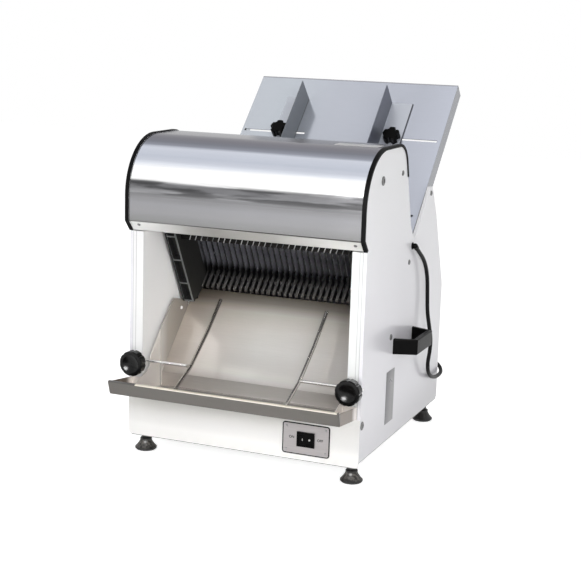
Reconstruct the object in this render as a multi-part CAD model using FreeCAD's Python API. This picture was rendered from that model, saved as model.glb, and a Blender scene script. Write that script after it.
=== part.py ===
import FreeCAD, Part
import math
import os
from FreeCAD import Vector

# Bench-top electric bread slicer: two blade sashes slide in opposite phase inside a
# painted sheet-metal body, the loaf slides down a sloping infeed tray through the blades
# and the slices land on a stainless discharge chute.
#
# Everything is drawn with x to the machine's left-hand side as seen from its rear (right
# as seen from the front), y backwards and z up.  y = 0 is the front face of the two
# uprights.  save() moves each piece so that the object's box stands centred on the origin.

# ---------------------------------------------------------------- driving dimensions
floor_level = 8.0                # heights are drawn from 8 mm below the floor; save() drops them
body_width = 470.0
body_depth = 495.0
sheet = 1.5                      # painted body sheet
side_bottom = 53.0               # lower edge of the side plates
skirt_bottom = 43.0              # lower edge of the front panel
skirt_corner = 9.0
return_flange = 4.5              # inward lip all round a side plate
seat_gap = 0.3                   # between separate pieces that only lie near each other
run_gap = 0.05                   # radial clearance of a shaft in its bore

# side plate outline
arch_front = 18.0                # the arch stands this far in front of the uprights
arch_top = 617.0
arch_front_radius = 108.0
arch_rear_radius = 50.0
arch_rear_centre = 165.0
arch_rear_lean = 18.0            # degrees off the vertical
knee_height = 457.0              # where the rear edge turns out towards the notch
notch_y = 280.0
chin_top = 462.0
chin_bottom = 442.0
trim_end = 553.0                 # height at which the rear end of the edge trim stops
trim_thickness = 2.0
trim_side = 1.5
trim_lip = 3.2                   # the trim's reach down the outside of the side plate
shoulder_front = 374.0           # rear shoulder of the side plate, beside the tray
shoulder_back = 391.0
shoulder_height = 518.0
shoulder_mid_back = 39.0
shoulder_mid_drop = 65.0
kink_height = 303.0
heel_chamfer = 6.0

# sloping bed and infeed tray
tray_top_y = 586.0
bed_angle = 45.0
bed_rise = 124.0                 # height of the bed surface over the plane y = 0
tray_half_width = 223.0
tray_sheet = 1.5
tray_flange = 31.0
tray_corner = 9.0
tray_length = 482.0
tray_flange_stop = 60.0            # the side flange narrows from here to the tray's foot
tray_flange_end = 25.0
tray_slot_distance = 156.0       # from the tray's top edge
tray_slot_inner = 78.0
tray_slot_outer = 214.0
tray_slot_width = 5.0

# blades and comb
blade_angle = 60.0
blade_distance = 46.0            # from the tray's foot down the bed to the blades
blade_pitch = 12.0
blade_count = 31
blade_width = 16.0
blade_thickness = 0.8
blade_top = 232.0                # along the sash, from the bed
blade_bottom = -79.0
comb_length = 85.5                # from the tray's foot
comb_slot = 6.0
comb_slot_distance = 26.0
comb_thickness = 5.5
comb_half_width = 174.0
comb_tongue = 18.0

# sashes
sash_bar = 20.0                  # square tube of the cross bars, and depth of the side bars
sash_offset = 24.0               # middle of a sash in front of or behind the blade plane
sash_side_inner = 188.0
sash_side_outer = 203.0
sash_top = 245.0
sash_bottom = -92.0
sash_stroke = 20.0
guide_gap = 0.3
guide_rib = 3.7
guide_low = -105.0
guide_high = 258.0
guide_lip = 192.0
hook_width = 4.0
hook_wire = 3.0

# black blade rails in front of the sashes
rail_inner = 174.5
rail_outer = 198.5
rail_front = 80.0
rail_back = 39.0
rail_wing = 9.5
rail_wing_width = 9.0
rail_wing_high = 200.0
rail_low = -18.0
rail_high = 232.0
rail_wall = 3.5
rail_pocket = 14.0
rail_pocket_pitch = 38.0
rail_pocket_first = -14.0
rail_pocket_count = 6
rail_boss_radius = 7.0
rail_boss_heights = (62.0, 205.0)

# black crossbar between the rails
crossbar_low = 129.0
crossbar_high = 142.0
crossbar_back = 50.0
crossbar_front = 64.0

# front panel
panel_shelf = 20.0               # depth of its upper fold, under the chute
panel_hem = 14.0                 # depth of its lower fold
panel_hem_end = 12.0

# inner panels
panel_stand = 7.5                # inner wall outside the chute's wall
post_low = 120.0
panel_low = 120.0
panel_roof = 590.0

# crank drive
eccentric_throw = sash_stroke
eccentric_radius = 34.0
eccentric_width = 10.0
crank_radius = 10.0
rod_length = 85.0
rod_pin = -146.0                 # along the sash
rod_pin_offset = eccentric_throw
rod_pin_radius = 5.0
rod_eye_radius = 12.0
rod_thickness = 8.0
strap_radius = 43.0
front_rod_x = 120.0
rear_rod_x = 96.0
lug_thickness = 6.0
bearing_x = 178.0
bearing_width = 18.0
bearing_half = 26.0
pulley_x = 146.0
pulley_width = 16.0
crank_pulley_radius = 66.0
motor_pulley_radius = 24.0
belt_depth = 7.0
belt_width = 9.0
motor_distance = 63.0            # motor's axis in front of the rear face
motor_z = 128.0
motor_radius = 52.0
motor_x0 = -86.0
motor_x1 = 112.0
motor_body_length = 162.0
motor_nose_radius = 22.0
motor_shaft_radius = 8.0

# base and feet
base_height = 58.0
base_sheet = 2.0
base_front = 8.0
base_side_gap = 1.0
foot_x = 212.7
foot_front_y = 28.5
foot_rear_distance = 21.0        # in front of the rear face
foot_radius = 21.2
foot_height = 24.5               # of the rubber bell
foot_collar = 4.0                # height of the nut moulded into its top
foot_collar_radius = 7.5
foot_neck_radius = 11.5
foot_stud_radius = 5.0
foot_stud_top = 74.0
foot_nut_radius = 8.5
foot_nut_height = 6.0

# discharge chute
chute_sheet = 1.2
chute_half_width = 200.0
chute_front_half_width = 227.0
chute_rise = 90.0                # height of the chute's slope over the plane y = 0
chute_top_y = 208.0
chute_fold_y = 66.0
chute_step = 27.5
chute_lip_y = -88.0
chute_lip_z = 146.6
chute_lip_height = 24.0
chute_lip_lean = 8.0
chute_hem = 4.0
chute_ear_height = 22.0
chute_notch_y = 190.0
chute_notch_depth = 15.0
chute_wall_start = -70.0         # where the side wall leaves the trough's floor
chute_wall_edge = ((-60.0, 150.0), (-37.0, 158.0), (-19.0, 164.0), (5.0, 169.0), (17.0, 181.0),
                   (20.0, 197.0), (57.0, 240.0), (115.0, 293.0), (140.0, 288.0), (178.0, 280.0))
chute_screw = (148.0, 268.0)
chute_screw_radius = 3.5

# slice guides on the chute
slice_guide_x = 111.0
slice_guide_radius = 3.5
slice_guide_path = ((142.0, 294.0), (80.0, 239.0), (10.0, 187.5), (-47.0, 162.0), (-72.0, 155.0))
guide_bend_radius = 40.0
clamp_rod_radius = 3.0
clamp_rod_y = 11.0
clamp_rod_z = 189.5
clamp_x = 217.5
clamp_block_half = 7.0
clamp_block_depth = 18.0
clamp_block_half_height = 12.0
star_knob_radius = 24.0
star_knob_thickness = 17.0
star_knob_front = 29.0
star_lobes = 8
star_lobe_depth = 1.4
stud_radius = 3.0

# loaf guides on the tray
loaf_guide_right = (92.0, 140.0, 118.0)      # fin, outer edge of the flange, knob
loaf_guide_left = (96.0, 145.0, 134.0)
loaf_guide_height = 57.0
loaf_guide_start = 60.0
loaf_guide_end = 300.0
loaf_guide_sheet = 1.5
loaf_knob_radius = 18.0
loaf_knob_height = 17.0
loaf_lobes = 5
loaf_lobe_depth = 5.5
loaf_bolt_radius = 2.0
loaf_bolt_reach = 9.0            # up into the knob
loaf_bolt_head = 2.5
loaf_bolt_head_radius = 5.0

# switch
switch_x = 132.5
switch_z = 84.5
switch_plate_width = 89.0
switch_plate_height = 56.0
switch_plate_corner = 4.0
switch_plate_sheet = 1.2
bezel_width = 34.5
bezel_height = 28.0
bezel_depth = 2.5
switch_body_depth = 26.0
rocker_width = 25.0
rocker_height = 19.0
rocker_tilt = 8.0
rocker_pivot_depth = 4.0
rocker_hub_radius = 2.2
rocker_pin_radius = 1.4
rocker_pin_half = 11.2

# side handles
handle_z = 234.0
handle_band = 30.0
handle_thickness = 9.0
handle_reach = 44.0
handle_front_y = 174.0
handle_back_y = 304.0
handle_grip_front = 190.0
handle_grip_back = 286.0
handle_round = 2.5

# bolts and plugs seen on the side plates: (y, z, head radius)
side_bolts = ((187.0, 563.5, 5.0), (73.0, 560.0, 8.5), (252.7, 385.0, 5.0),
              (158.0, 256.0, 6.0), (10.0, 122.0, 8.0), (381.0, 505.0, 5.0))
bolt_head = 1.8

# rear cover
vent_count = 6
vent_length = 110.0
vent_width = 5.0
vent_pitch = 16.0
vent_low = 120.0

# mains cord
cord_radius = 4.0
relief_radius = 5.0
relief_knuckle_radius = 5.4
relief_stem_radius = 4.5
relief_flange_radius = 7.0
relief_flange = 1.2
relief_length = 9.0              # of the elbow's barrel
cord_points = (
    (241.5, 277.0, 409.5), (243.0, 295.0, 397.5), (244.0, 316.0, 384.5), (245.0, 336.0, 364.5),
    (245.5, 349.0, 338.0), (245.0, 356.0, 304.0), (246.0, 358.0, 269.0), (249.5, 364.0, 239.0),
    (252.0, 373.0, 211.0), (251.0, 374.0, 185.0), (248.0, 372.0, 161.0), (246.0, 384.0, 138.0),
    (245.0, 410.0, 122.0), (244.0, 441.0, 113.0), (243.5, 471.0, 109.0), (243.0, 499.0, 112.0),
    (231.0, 519.0, 121.0), (206.0, 527.0, 132.0), (178.0, 528.0, 136.0), (153.0, 527.0, 124.0),
    (137.0, 526.0, 101.0), (127.0, 526.0, 77.0), (119.0, 527.0, 51.0), (112.0, 533.0, 29.0),
    (101.0, 546.0, 16.5), (84.0, 561.0, 12.6))
coil_x = 26.0
coil_y = 568.0
coil_mean_radius = 48.0
coil_turn_offset = 4.2            # of a turn's middle from the middle of the coil
coil_half_width = 8.5
coil_height = 16.5
coil_round = 4.0
plug_width = 36.0
plug_depth = 24.0
plug_length = 44.0
plug_grip_length = 16.0
plug_neck_radius = 5.5
pin_radius = 2.4
pin_length = 19.0
pin_half_pitch = 9.5

# ---------------------------------------------------------------- derived places
half = body_width / 2.0
bed = math.radians(bed_angle)
lean = math.radians(blade_angle)
tray_top_z = tray_top_y + bed_rise if bed_angle == 45.0 else tray_top_y * math.tan(bed) + bed_rise
rear_reach = tray_top_y + tray_flange * math.sin(bed)
panel_inner = chute_half_width + panel_stand
post_outer = half - sheet - return_flange - seat_gap
blade_line = tray_length + blade_distance            # down the bed from the tray's top edge
comb_end = tray_length + comb_length
comb_slot_start = tray_length + comb_slot_distance
motor_y = body_depth - motor_distance
foot_rear_y = body_depth - foot_rear_distance
front_reach = -(chute_lip_y - chute_lip_lean) + chute_sheet
upright_y = (front_reach - rear_reach) / 2.0       # where the uprights' front plane goes


def bed_point(s, n):
    """(y, z) at s down the bed from the tray's top edge and n above its surface."""
    y = tray_top_y - s * math.cos(bed) - n * math.sin(bed)
    z = tray_top_z - s * math.sin(bed) + n * math.cos(bed)
    return y, z


blade_foot = bed_point(blade_line, 0.0)


def sash_point(u, d):
    """(y, z) at u up the sash from the bed and d in front of the blade plane."""
    y = blade_foot[0] - u * math.cos(lean) - d * math.sin(lean)
    z = blade_foot[1] + u * math.sin(lean) - d * math.cos(lean)
    return y, z


crank_y, crank_z = sash_point(rod_pin - rod_length, 0.0)
cord_start = Vector(*cord_points[0])
cord_heading = (Vector(*cord_points[1]) - cord_start).normalize()
relief_centre = cord_start - cord_heading * relief_length
parts_folder = "parts"
os.makedirs(parts_folder, exist_ok=True)


# ---------------------------------------------------------------- building blocks
def save(name, shape):
    moved = shape.copy()
    moved.translate(Vector(0, upright_y, -floor_level))
    moved.exportStep(os.path.join(parts_folder, name + ".step"))


def mirror(shape):
    """The same piece on the other side of the machine."""
    return shape.mirror(Vector(0, 0, 0), Vector(1, 0, 0))


def both(right_shapes):
    """Right-hand pieces and their mirrored twins as one group."""
    return Part.Compound(right_shapes + [mirror(shape) for shape in right_shapes])


def save_pair(name, right_shape):
    save(name + "_right", right_shape)
    save(name + "_left", mirror(right_shape))


def box(x0, x1, y0, y1, z0, z1):
    return Part.makeBox(x1 - x0, y1 - y0, z1 - z0, Vector(x0, y0, z0))


def prism(points, x0, x1):
    """A closed outline of (y, z) points, stretched from x0 to x1."""
    corners = [Vector(x0, y, z) for y, z in points]
    face = Part.Face(Part.makePolygon(corners + corners[:1]))
    return face.extrude(Vector(x1 - x0, 0, 0))


def offset_points(points, distance):
    """The open line of (y, z) points moved sideways to its left by distance."""
    moved = []
    for i, (y, z) in enumerate(points):
        normals = []
        for a, b in ((i - 1, i), (i, i + 1)):
            if a < 0 or b >= len(points):
                continue
            dy = points[b][0] - points[a][0]
            dz = points[b][1] - points[a][1]
            length = math.hypot(dy, dz)
            normals.append((-dz / length, dy / length))
        ny = sum(n[0] for n in normals)
        nz = sum(n[1] for n in normals)
        scale = distance * len(normals) / (ny * ny + nz * nz)
        moved.append((y + ny * scale, z + nz * scale))
    return moved


def folded_sheet(points, thickness, x0, x1):
    """Sheet bent along an open line of (y, z) points, its metal to the left of the line."""
    return prism(list(points) + offset_points(points, thickness)[::-1], x0, x1)


def block_on_sash(x0, x1, u0, u1, d0, d1):
    corners = [sash_point(u0, d0), sash_point(u1, d0), sash_point(u1, d1), sash_point(u0, d1)]
    return prism(corners, x0, x1)


def block_on_bed(x0, x1, s0, s1, n0, n1):
    corners = [bed_point(s0, n0), bed_point(s1, n0), bed_point(s1, n1), bed_point(s0, n1)]
    return prism(corners, x0, x1)


def rod(start, end, radius):
    axis = Vector(*end) - Vector(*start)
    return Part.makeCylinder(radius, axis.Length, Vector(*start), axis)


def rod_x(radius, y, z, x0, x1):
    return rod((x0, y, z), (x1, y, z), radius)


def turned(profile, start, axis):
    """A turned piece: (radius, height) points round an axis from start."""
    corners = [Vector(r, 0, h) for r, h in profile]
    face = Part.Face(Part.makePolygon(corners + corners[:1]))
    solid = face.revolve(Vector(0, 0, 0), Vector(0, 0, 1), 360)
    place = FreeCAD.Rotation(Vector(0, 0, 1), Vector(*axis))
    solid.Placement = FreeCAD.Placement(Vector(*start), place)
    return solid


def lobed_disc(radius, lobes, depth, thickness, start, axis, dish, turn=0.0):
    """A star knob's head: a disc with rounded hollows round its rim and a dished face."""
    disc = Part.makeCylinder(radius, thickness)
    hollow = radius * math.pi / lobes * 0.5
    for i in range(lobes):
        angle = math.radians(turn) + 2 * math.pi * i / lobes
        reach = radius + hollow - depth
        centre = Vector(reach * math.cos(angle), reach * math.sin(angle), -1)
        disc = disc.cut(Part.makeCylinder(hollow, thickness + 2, centre))
    rim = Part.makeCone(radius + thickness * 0.35, radius - thickness * 0.12, thickness * 0.5,
                        Vector(0, 0, thickness * 0.5))
    base = Part.makeCylinder(radius, thickness * 0.5)
    disc = disc.common(base.fuse(rim))
    if dish > 0:
        bowl_radius = (radius * radius * 0.5 + dish * dish) / (2 * dish)
        disc = disc.cut(Part.makeSphere(bowl_radius, Vector(0, 0, thickness - dish + bowl_radius)))
    place = FreeCAD.Rotation(Vector(0, 0, 1), Vector(*axis))
    disc.Placement = FreeCAD.Placement(Vector(*start), place)
    return disc


def rounded_run(points, radii):
    """A wire of straight runs through the points, joined by arcs of the given radii."""
    edges = []
    here = points[0]
    for i in range(1, len(points) - 1):
        back = (points[i - 1] - points[i]).normalize()
        ahead = (points[i + 1] - points[i]).normalize()
        half_turn = (math.pi - back.getAngle(ahead)) / 2
        cut = radii[i - 1] * math.tan(half_turn)
        arc_start = points[i] + back * cut
        arc_end = points[i] + ahead * cut
        inward = (back + ahead).normalize()
        middle = points[i] + inward * (radii[i - 1] / math.cos(half_turn) - radii[i - 1])
        edges.append(Part.LineSegment(here, arc_start).toShape())
        edges.append(Part.Arc(arc_start, middle, arc_end).toShape())
        here = arc_end
    edges.append(Part.LineSegment(here, points[-1]).toShape())
    return Part.Wire(edges)


def swept_rod(wire, radius, start, direction):
    ring = Part.Wire(Part.makeCircle(radius, start, direction))
    return wire.makePipeShell([ring], True, True)


def widest_radii(points):
    """For each inner point, the largest arc that its two runs allow."""
    radii = []
    for i in range(1, len(points) - 1):
        back = points[i - 1] - points[i]
        ahead = points[i + 1] - points[i]
        half_turn = (math.pi - back.getAngle(ahead)) / 2
        radii.append(0.45 * min(back.Length, ahead.Length) / math.tan(half_turn))
    return radii


# ---------------------------------------------------------------- arch of the side plates
def arch_edges(offset):
    """The arch from its chin to the rear end of the trim, offset outwards, as (y, z)."""
    rear_lean = math.radians(arch_rear_lean)
    front_y = -arch_front - offset
    centre_front = (arch_front_radius - arch_front, arch_top - arch_front_radius)
    centre_rear = (arch_rear_centre, arch_top - arch_rear_radius)
    front_radius = arch_front_radius + offset
    rear_radius = arch_rear_radius + offset
    chin_dy = arch_front
    chin_dz = chin_top - chin_bottom
    chin_length = math.hypot(chin_dy, chin_dz)
    low = (-offset * chin_dz / chin_length, chin_bottom - offset * chin_dy / chin_length)
    corner_z = low[1] + (low[0] - front_y) * chin_dz / chin_dy
    front_mid = (centre_front[0] - front_radius * math.cos(math.pi / 4),
                 centre_front[1] + front_radius * math.sin(math.pi / 4))
    swing = math.pi / 2 - rear_lean
    rear_mid = (centre_rear[0] + rear_radius * math.sin(swing / 2),
                centre_rear[1] + rear_radius * math.cos(swing / 2))
    rear_start = (centre_rear[0] + rear_radius * math.cos(rear_lean),
                  centre_rear[1] + rear_radius * math.sin(rear_lean))
    rear_end = (rear_start[0] + (rear_start[1] - trim_end) * math.tan(rear_lean), trim_end)
    return {
        "chin": low, "corner": (front_y, corner_z), "front": (front_y, centre_front[1]),
        "front_mid": front_mid, "top_front": (centre_front[0], arch_top + offset),
        "top_rear": (centre_rear[0], arch_top + offset), "rear_mid": rear_mid,
        "rear_start": rear_start, "rear_end": rear_end}


def arch_curve(offset, x, close_points=()):
    """Edges along the arch from chin to rear end at one offset."""
    at = {name: Vector(x, y, z) for name, (y, z) in arch_edges(offset).items()}
    return [
        Part.LineSegment(at["chin"], at["corner"]).toShape(),
        Part.LineSegment(at["corner"], at["front"]).toShape(),
        Part.Arc(at["front"], at["front_mid"], at["top_front"]).toShape(),
        Part.LineSegment(at["top_front"], at["top_rear"]).toShape(),
        Part.Arc(at["top_rear"], at["rear_mid"], at["rear_start"]).toShape(),
        Part.LineSegment(at["rear_start"], at["rear_end"]).toShape()], at


def arch_band(inner, outer, x0, x1):
    """A band along the arch between two offsets, from x0 to x1."""
    outer_edges, outer_at = arch_curve(outer, x0)
    inner_edges, inner_at = arch_curve(inner, x0)
    caps = [Part.LineSegment(inner_at[end], outer_at[end]).toShape() for end in ("chin", "rear_end")]
    wire = Part.Wire(Part.__sortEdges__(outer_edges + inner_edges + caps))
    return Part.Face(wire).extrude(Vector(x1 - x0, 0, 0))


def knee_point():
    """Where the arch's rear edge turns out towards the notch."""
    y0, z0 = arch_edges(0.0)["rear_start"]
    return y0 + (z0 - knee_height) * math.tan(math.radians(arch_rear_lean)), knee_height


def side_face(x):
    edges, at = arch_curve(0.0, x)
    outline = [
        at["rear_end"], Vector(x, *knee_point()),
        Vector(x, notch_y, shoulder_height - shoulder_front + notch_y),
        Vector(x, shoulder_front, shoulder_height),
        Vector(x, shoulder_back, shoulder_height),
        Vector(x, shoulder_back + shoulder_mid_back, shoulder_height - shoulder_mid_drop),
        Vector(x, body_depth, kink_height), Vector(x, body_depth, side_bottom + heel_chamfer),
        Vector(x, body_depth - heel_chamfer, side_bottom), Vector(x, 0, side_bottom), at["chin"]]
    lines = [Part.LineSegment(a, b).toShape() for a, b in zip(outline, outline[1:])]
    return Part.Face(Part.Wire(edges + lines))


def build_side_plates():
    """Pans with a return flange all round; only the right one has the cord's hole."""
    face = side_face(half - sheet - return_flange)
    pan = face.extrude(Vector(sheet + return_flange, 0, 0))
    hollow = face.makeOffset2D(-sheet).extrude(Vector(return_flange, 0, 0))
    holes = [rod_x(clamp_rod_radius + 1.0, clamp_rod_y, clamp_rod_z, half - 3, half + 1)]
    for y, z, radius in side_bolts:
        holes.append(rod_x(radius * 0.55, y, z, half - 3, half + 1))
    plate = pan.cut([hollow] + holes)
    save("side_plate_left", mirror(plate))
    cord_hole = rod_x(relief_stem_radius + seat_gap, relief_centre.y, relief_centre.z,
                      half - 3, half + 1)
    save("side_plate_right", plate.cut(cord_hole))


def build_side_bolts():
    bolts = []
    for y, z, radius in side_bolts:
        head = turned([(0, 0), (radius, 0), (radius, bolt_head * 0.6), (radius * 0.8, bolt_head),
                       (radius * 0.45, bolt_head), (radius * 0.45, bolt_head * 0.4),
                       (0, bolt_head * 0.4)], (half, y, z), (1, 0, 0))
        shank = rod_x(radius * 0.5, y, z, half - sheet - 4.0, half)
        bolts.append(head.fuse(shank))
    save("side_bolts", both(bolts))


def build_inner_panels():
    """Inner walls of the opening with the uprights' front faces folded onto them."""
    low_d = -guide_rib - sash_offset - sash_bar / 2 - guide_gap
    outline = [(0, panel_low), (0, chin_bottom - 2.0), (24, chin_bottom - 2.0), (24, 520.0),
               (70, panel_roof - 12), sash_point(guide_high + 2, low_d),
               sash_point(guide_low, low_d), (sash_point(guide_low, low_d)[0], panel_low)]
    wall = prism(outline, panel_inner, panel_inner + sheet)
    front = box(panel_inner, post_outer, 0, sheet, post_low, chin_bottom - 2.0)
    panel = wall.fuse(front)
    panel = panel.cut(rod_x(clamp_rod_radius + 1.0, clamp_rod_y, clamp_rod_z, panel_inner - 1, half))
    stud_hole = rod((clamp_x, -1, clamp_rod_z), (clamp_x, 3, clamp_rod_z), stud_radius + 0.6)
    panel = panel.cut(stud_hole)
    boss = rod_x(5.0, chute_screw[0], chute_screw[1],
                 chute_half_width + chute_sheet + seat_gap, panel_inner)
    panel = panel.fuse(boss)
    panel = panel.cut(rod_x(1.6, chute_screw[0], chute_screw[1], chute_half_width, half - 5))
    save_pair("inner_panel", panel.removeSplitter())


def build_front_panel():
    top = floor_height(0.0) - chute_sheet - 0.6
    face = box(-half, half, -sheet, 0, skirt_bottom, top)
    corners = [e for e in face.Edges if abs(e.BoundBox.ZMax - skirt_bottom) < 0.01
               and abs(e.BoundBox.ZMin - skirt_bottom) < 0.01 and e.BoundBox.YLength > 1]
    face = face.makeFillet(skirt_corner, corners)
    shelf_top = floor_height(panel_shelf) - chute_sheet - 2 * seat_gap
    shelf = box(-panel_inner + 1, panel_inner - 1, 0, panel_shelf, shelf_top - sheet, shelf_top)
    hem = box(-half + panel_hem_end, half - panel_hem_end, 0, panel_hem, skirt_bottom,
              skirt_bottom + sheet)
    panel = face.fuse([shelf, hem])
    opening = box(switch_x - bezel_width / 2 + 2, switch_x + bezel_width / 2 - 2, -3, 3,
                  switch_z - bezel_height / 2 + 2, switch_z + bezel_height / 2 - 2)
    save("front_panel", panel.cut(opening).removeSplitter())


def build_base():
    inside = half - sheet - base_side_gap
    plate = box(-inside, inside, base_front, body_depth - sheet - 1, base_height,
                base_height + base_sheet)
    for x, y in foot_places():
        hole = rod((x, y, base_height - 1), (x, y, base_height + 5), foot_stud_radius + 0.3)
        plate = plate.cut(hole)
    save("base_plate", plate)


def foot_places():
    return [(x, y) for y in (foot_front_y, foot_rear_y) for x in (-foot_x, foot_x)]


def build_feet():
    names = ("foot_front_left", "foot_front_right", "foot_rear_left", "foot_rear_right")
    for name, (x, y) in zip(names, foot_places()):
        bell = turned([(0, 0), (foot_radius - 2.5, 0), (foot_radius, 2.5), (foot_radius, 5.0),
                       (foot_radius * 0.82, 9.0), (foot_neck_radius + 1.5, 15.0),
                       (foot_neck_radius, 18.5), (foot_neck_radius, foot_height - 2),
                       (foot_neck_radius - 3, foot_height), (0, foot_height)],
                      (x, y, floor_level), (0, 0, 1))
        collar = rod((x, y, floor_level + foot_height - 1),
                     (x, y, floor_level + foot_height + foot_collar), foot_collar_radius)
        stud = rod((x, y, floor_level + foot_height - 2), (x, y, foot_stud_top), foot_stud_radius)
        save(name, bell.fuse([collar, stud]))
    nuts = []
    for x, y in foot_places():
        top = base_height + base_sheet
        nut = hexagon(foot_nut_radius, foot_nut_height, (x, y, top))
        nuts.append(nut.cut(rod((x, y, top - 1), (x, y, top + 20), foot_stud_radius + run_gap)))
    save("foot_nuts", Part.Compound(nuts))


def hexagon(radius, height, place):
    corners = [Vector(place[0] + radius * math.cos(math.pi * i / 3),
                      place[1] + radius * math.sin(math.pi * i / 3), place[2]) for i in range(6)]
    return Part.Face(Part.makePolygon(corners + corners[:1])).extrude(Vector(0, 0, height))


def build_rear_cover():
    """Back of the body: upright, then folded forwards up to the shoulders."""
    mid = (shoulder_back + shoulder_mid_back, shoulder_height - shoulder_mid_drop)
    inside = half - sheet - return_flange - seat_gap
    path = [(body_depth, side_bottom + heel_chamfer), (body_depth, kink_height), mid,
            (shoulder_back, shoulder_height)]
    cover = folded_sheet(path, sheet, -inside, inside)
    under_tray = block_on_bed(-inside - 1, inside + 1, 0, tray_length, -tray_sheet - 2.0, tray_flange)
    beside_flange = block_on_bed(tray_half_width - tray_sheet - 1.0, inside + 1, 0, tray_length,
                                 -tray_flange - 1.0, 0)
    cover = cover.cut([under_tray, beside_flange, mirror(beside_flange)])
    for i in range(vent_count):
        z = vent_low + i * vent_pitch
        slot = box(-vent_length / 2, vent_length / 2, body_depth - 5, body_depth + 1,
                   z, z + vent_width)
        cover = cover.cut(slot)
    save("rear_cover", cover)


# ---------------------------------------------------------------- hood and trims
def build_hood():
    width = half - sheet - return_flange - seat_gap
    band = arch_band(-sheet - 0.2, -0.2, -width, width)
    chin_y, chin_z = arch_edges(-0.2)["chin"]
    shelf = box(-width, width, chin_y, chin_y + 14, chin_z, chin_z + sheet)
    hood = band.fuse(shelf).removeSplitter()
    save("hood", hood)


def build_trims():
    inner_x = half - sheet - return_flange
    cap = arch_band(0.2, trim_thickness, inner_x, half + trim_side)
    lip = arch_band(-trim_lip, 0.2, half, half + trim_side)
    save_pair("hood_trim", cap.fuse(lip).removeSplitter())


# ---------------------------------------------------------------- infeed tray, comb, loaf guides
def build_tray():
    surface = block_on_bed(-tray_half_width, tray_half_width, 0, tray_length, -tray_sheet, 0)
    flange = [bed_point(tray_corner, 0), bed_point(0, -tray_corner), bed_point(0, -tray_flange),
              bed_point(tray_length - tray_flange_stop, -tray_flange),
              bed_point(tray_length - tray_flange_end, -tray_corner),
              bed_point(tray_length - tray_flange_end, 0)]
    right = prism(flange, tray_half_width - tray_sheet, tray_half_width)
    tray = surface.fuse([right, mirror(right)])
    head = block_on_bed(-tray_half_width, tray_half_width, 0, tray_sheet, -tray_corner, 0)
    tray = tray.fuse(head)
    for side in (-1, 1):
        ends = sorted((side * tray_slot_inner, side * tray_slot_outer))
        s0 = tray_slot_distance - tray_slot_width / 2
        slot = block_on_bed(ends[0], ends[1], s0, s0 + tray_slot_width, -5, 5)
        tray = tray.cut(slot)
    save("infeed_tray", tray.removeSplitter())


def build_comb():
    plate = block_on_bed(-comb_half_width, comb_half_width, tray_length + seat_gap, comb_end,
                         -comb_thickness, 0)
    tongue = block_on_bed(-comb_half_width, comb_half_width, tray_length - comb_tongue,
                          tray_length + 4, -comb_thickness, -tray_sheet)
    comb = plate.fuse(tongue)
    slots = []
    for i in range(1, blade_count - 1):
        x = (i - (blade_count - 1) / 2) * blade_pitch
        slots.append(block_on_bed(x - comb_slot / 2, x + comb_slot / 2, comb_slot_start,
                                  comb_end + 2, -comb_thickness - 1, 1))
    save("bed_comb", comb.cut(slots).removeSplitter())


def build_loaf_guide(fin_x, outer_x, knob_x):
    """An angle standing on the tray, its bolt through the tray's slot and the knob that clamps it."""
    flange = block_on_bed(fin_x, outer_x, loaf_guide_start, loaf_guide_end,
                          seat_gap, seat_gap + loaf_guide_sheet)
    fin = block_on_bed(fin_x, fin_x + loaf_guide_sheet, loaf_guide_start,
                       loaf_guide_end, seat_gap, seat_gap + loaf_guide_height)
    seat = seat_gap + loaf_guide_sheet + 0.1
    head_top = -tray_sheet - seat_gap

    def on_axis(n):
        return (knob_x, *bed_point(tray_slot_distance, n))

    bolt = rod(on_axis(head_top - 1), on_axis(seat + loaf_bolt_reach), loaf_bolt_radius)
    bolt_head = rod(on_axis(head_top - loaf_bolt_head), on_axis(head_top), loaf_bolt_head_radius)
    guide = flange.fuse([fin, bolt, bolt_head]).removeSplitter()
    normal = (0, -math.sin(bed), math.cos(bed))
    knob = lobed_disc(loaf_knob_radius, loaf_lobes, loaf_lobe_depth, loaf_knob_height,
                      on_axis(seat), normal, 0, 90.0 - 180.0 / loaf_lobes)
    bore = rod(on_axis(seat - 1), on_axis(seat + loaf_bolt_reach + seat_gap),
               loaf_bolt_radius + run_gap)
    return guide, knob.cut(bore)


def build_loaf_guides():
    guide, knob = build_loaf_guide(*loaf_guide_right)
    save("loaf_guide_right", guide)
    save("loaf_guide_knob_right", knob)
    guide, knob = build_loaf_guide(*loaf_guide_left)
    save("loaf_guide_left", mirror(guide))
    save("loaf_guide_knob_left", mirror(knob))


# ---------------------------------------------------------------- blade rails and sash guides
def build_rails():
    """Black moulded rails: ribbed pockets open to the front, a wing beside the blades."""
    rail = block_on_sash(rail_inner, rail_outer, rail_low, rail_high, rail_back, rail_front)
    for i in range(rail_pocket_count):
        u0 = rail_pocket_first + i * rail_pocket_pitch
        pocket = block_on_sash(rail_inner + rail_wall, rail_outer - rail_wall, u0,
                               u0 + rail_pocket_pitch - rail_wall,
                               rail_front - rail_pocket, rail_front + 1)
        rail = rail.cut(pocket)
    wing = block_on_sash(rail_inner, rail_inner + rail_wing_width, rail_low, rail_wing_high,
                         rail_wing, rail_back + 1)
    rail = rail.fuse(wing)
    for u in rail_boss_heights:
        y, z = sash_point(u, (rail_back + rail_front) / 2)
        rail = rail.fuse(rod_x(rail_boss_radius, y, z, rail_outer - 1, panel_inner))
    save_pair("blade_rail", rail.removeSplitter())


def build_crossbar():
    """Black bar between the rails, under the hood's front edge, with a finger per gap."""
    bar = block_on_sash(-rail_inner, rail_inner, crossbar_low, crossbar_high,
                        crossbar_back, crossbar_front)
    save("guide_crossbar", bar)


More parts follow.
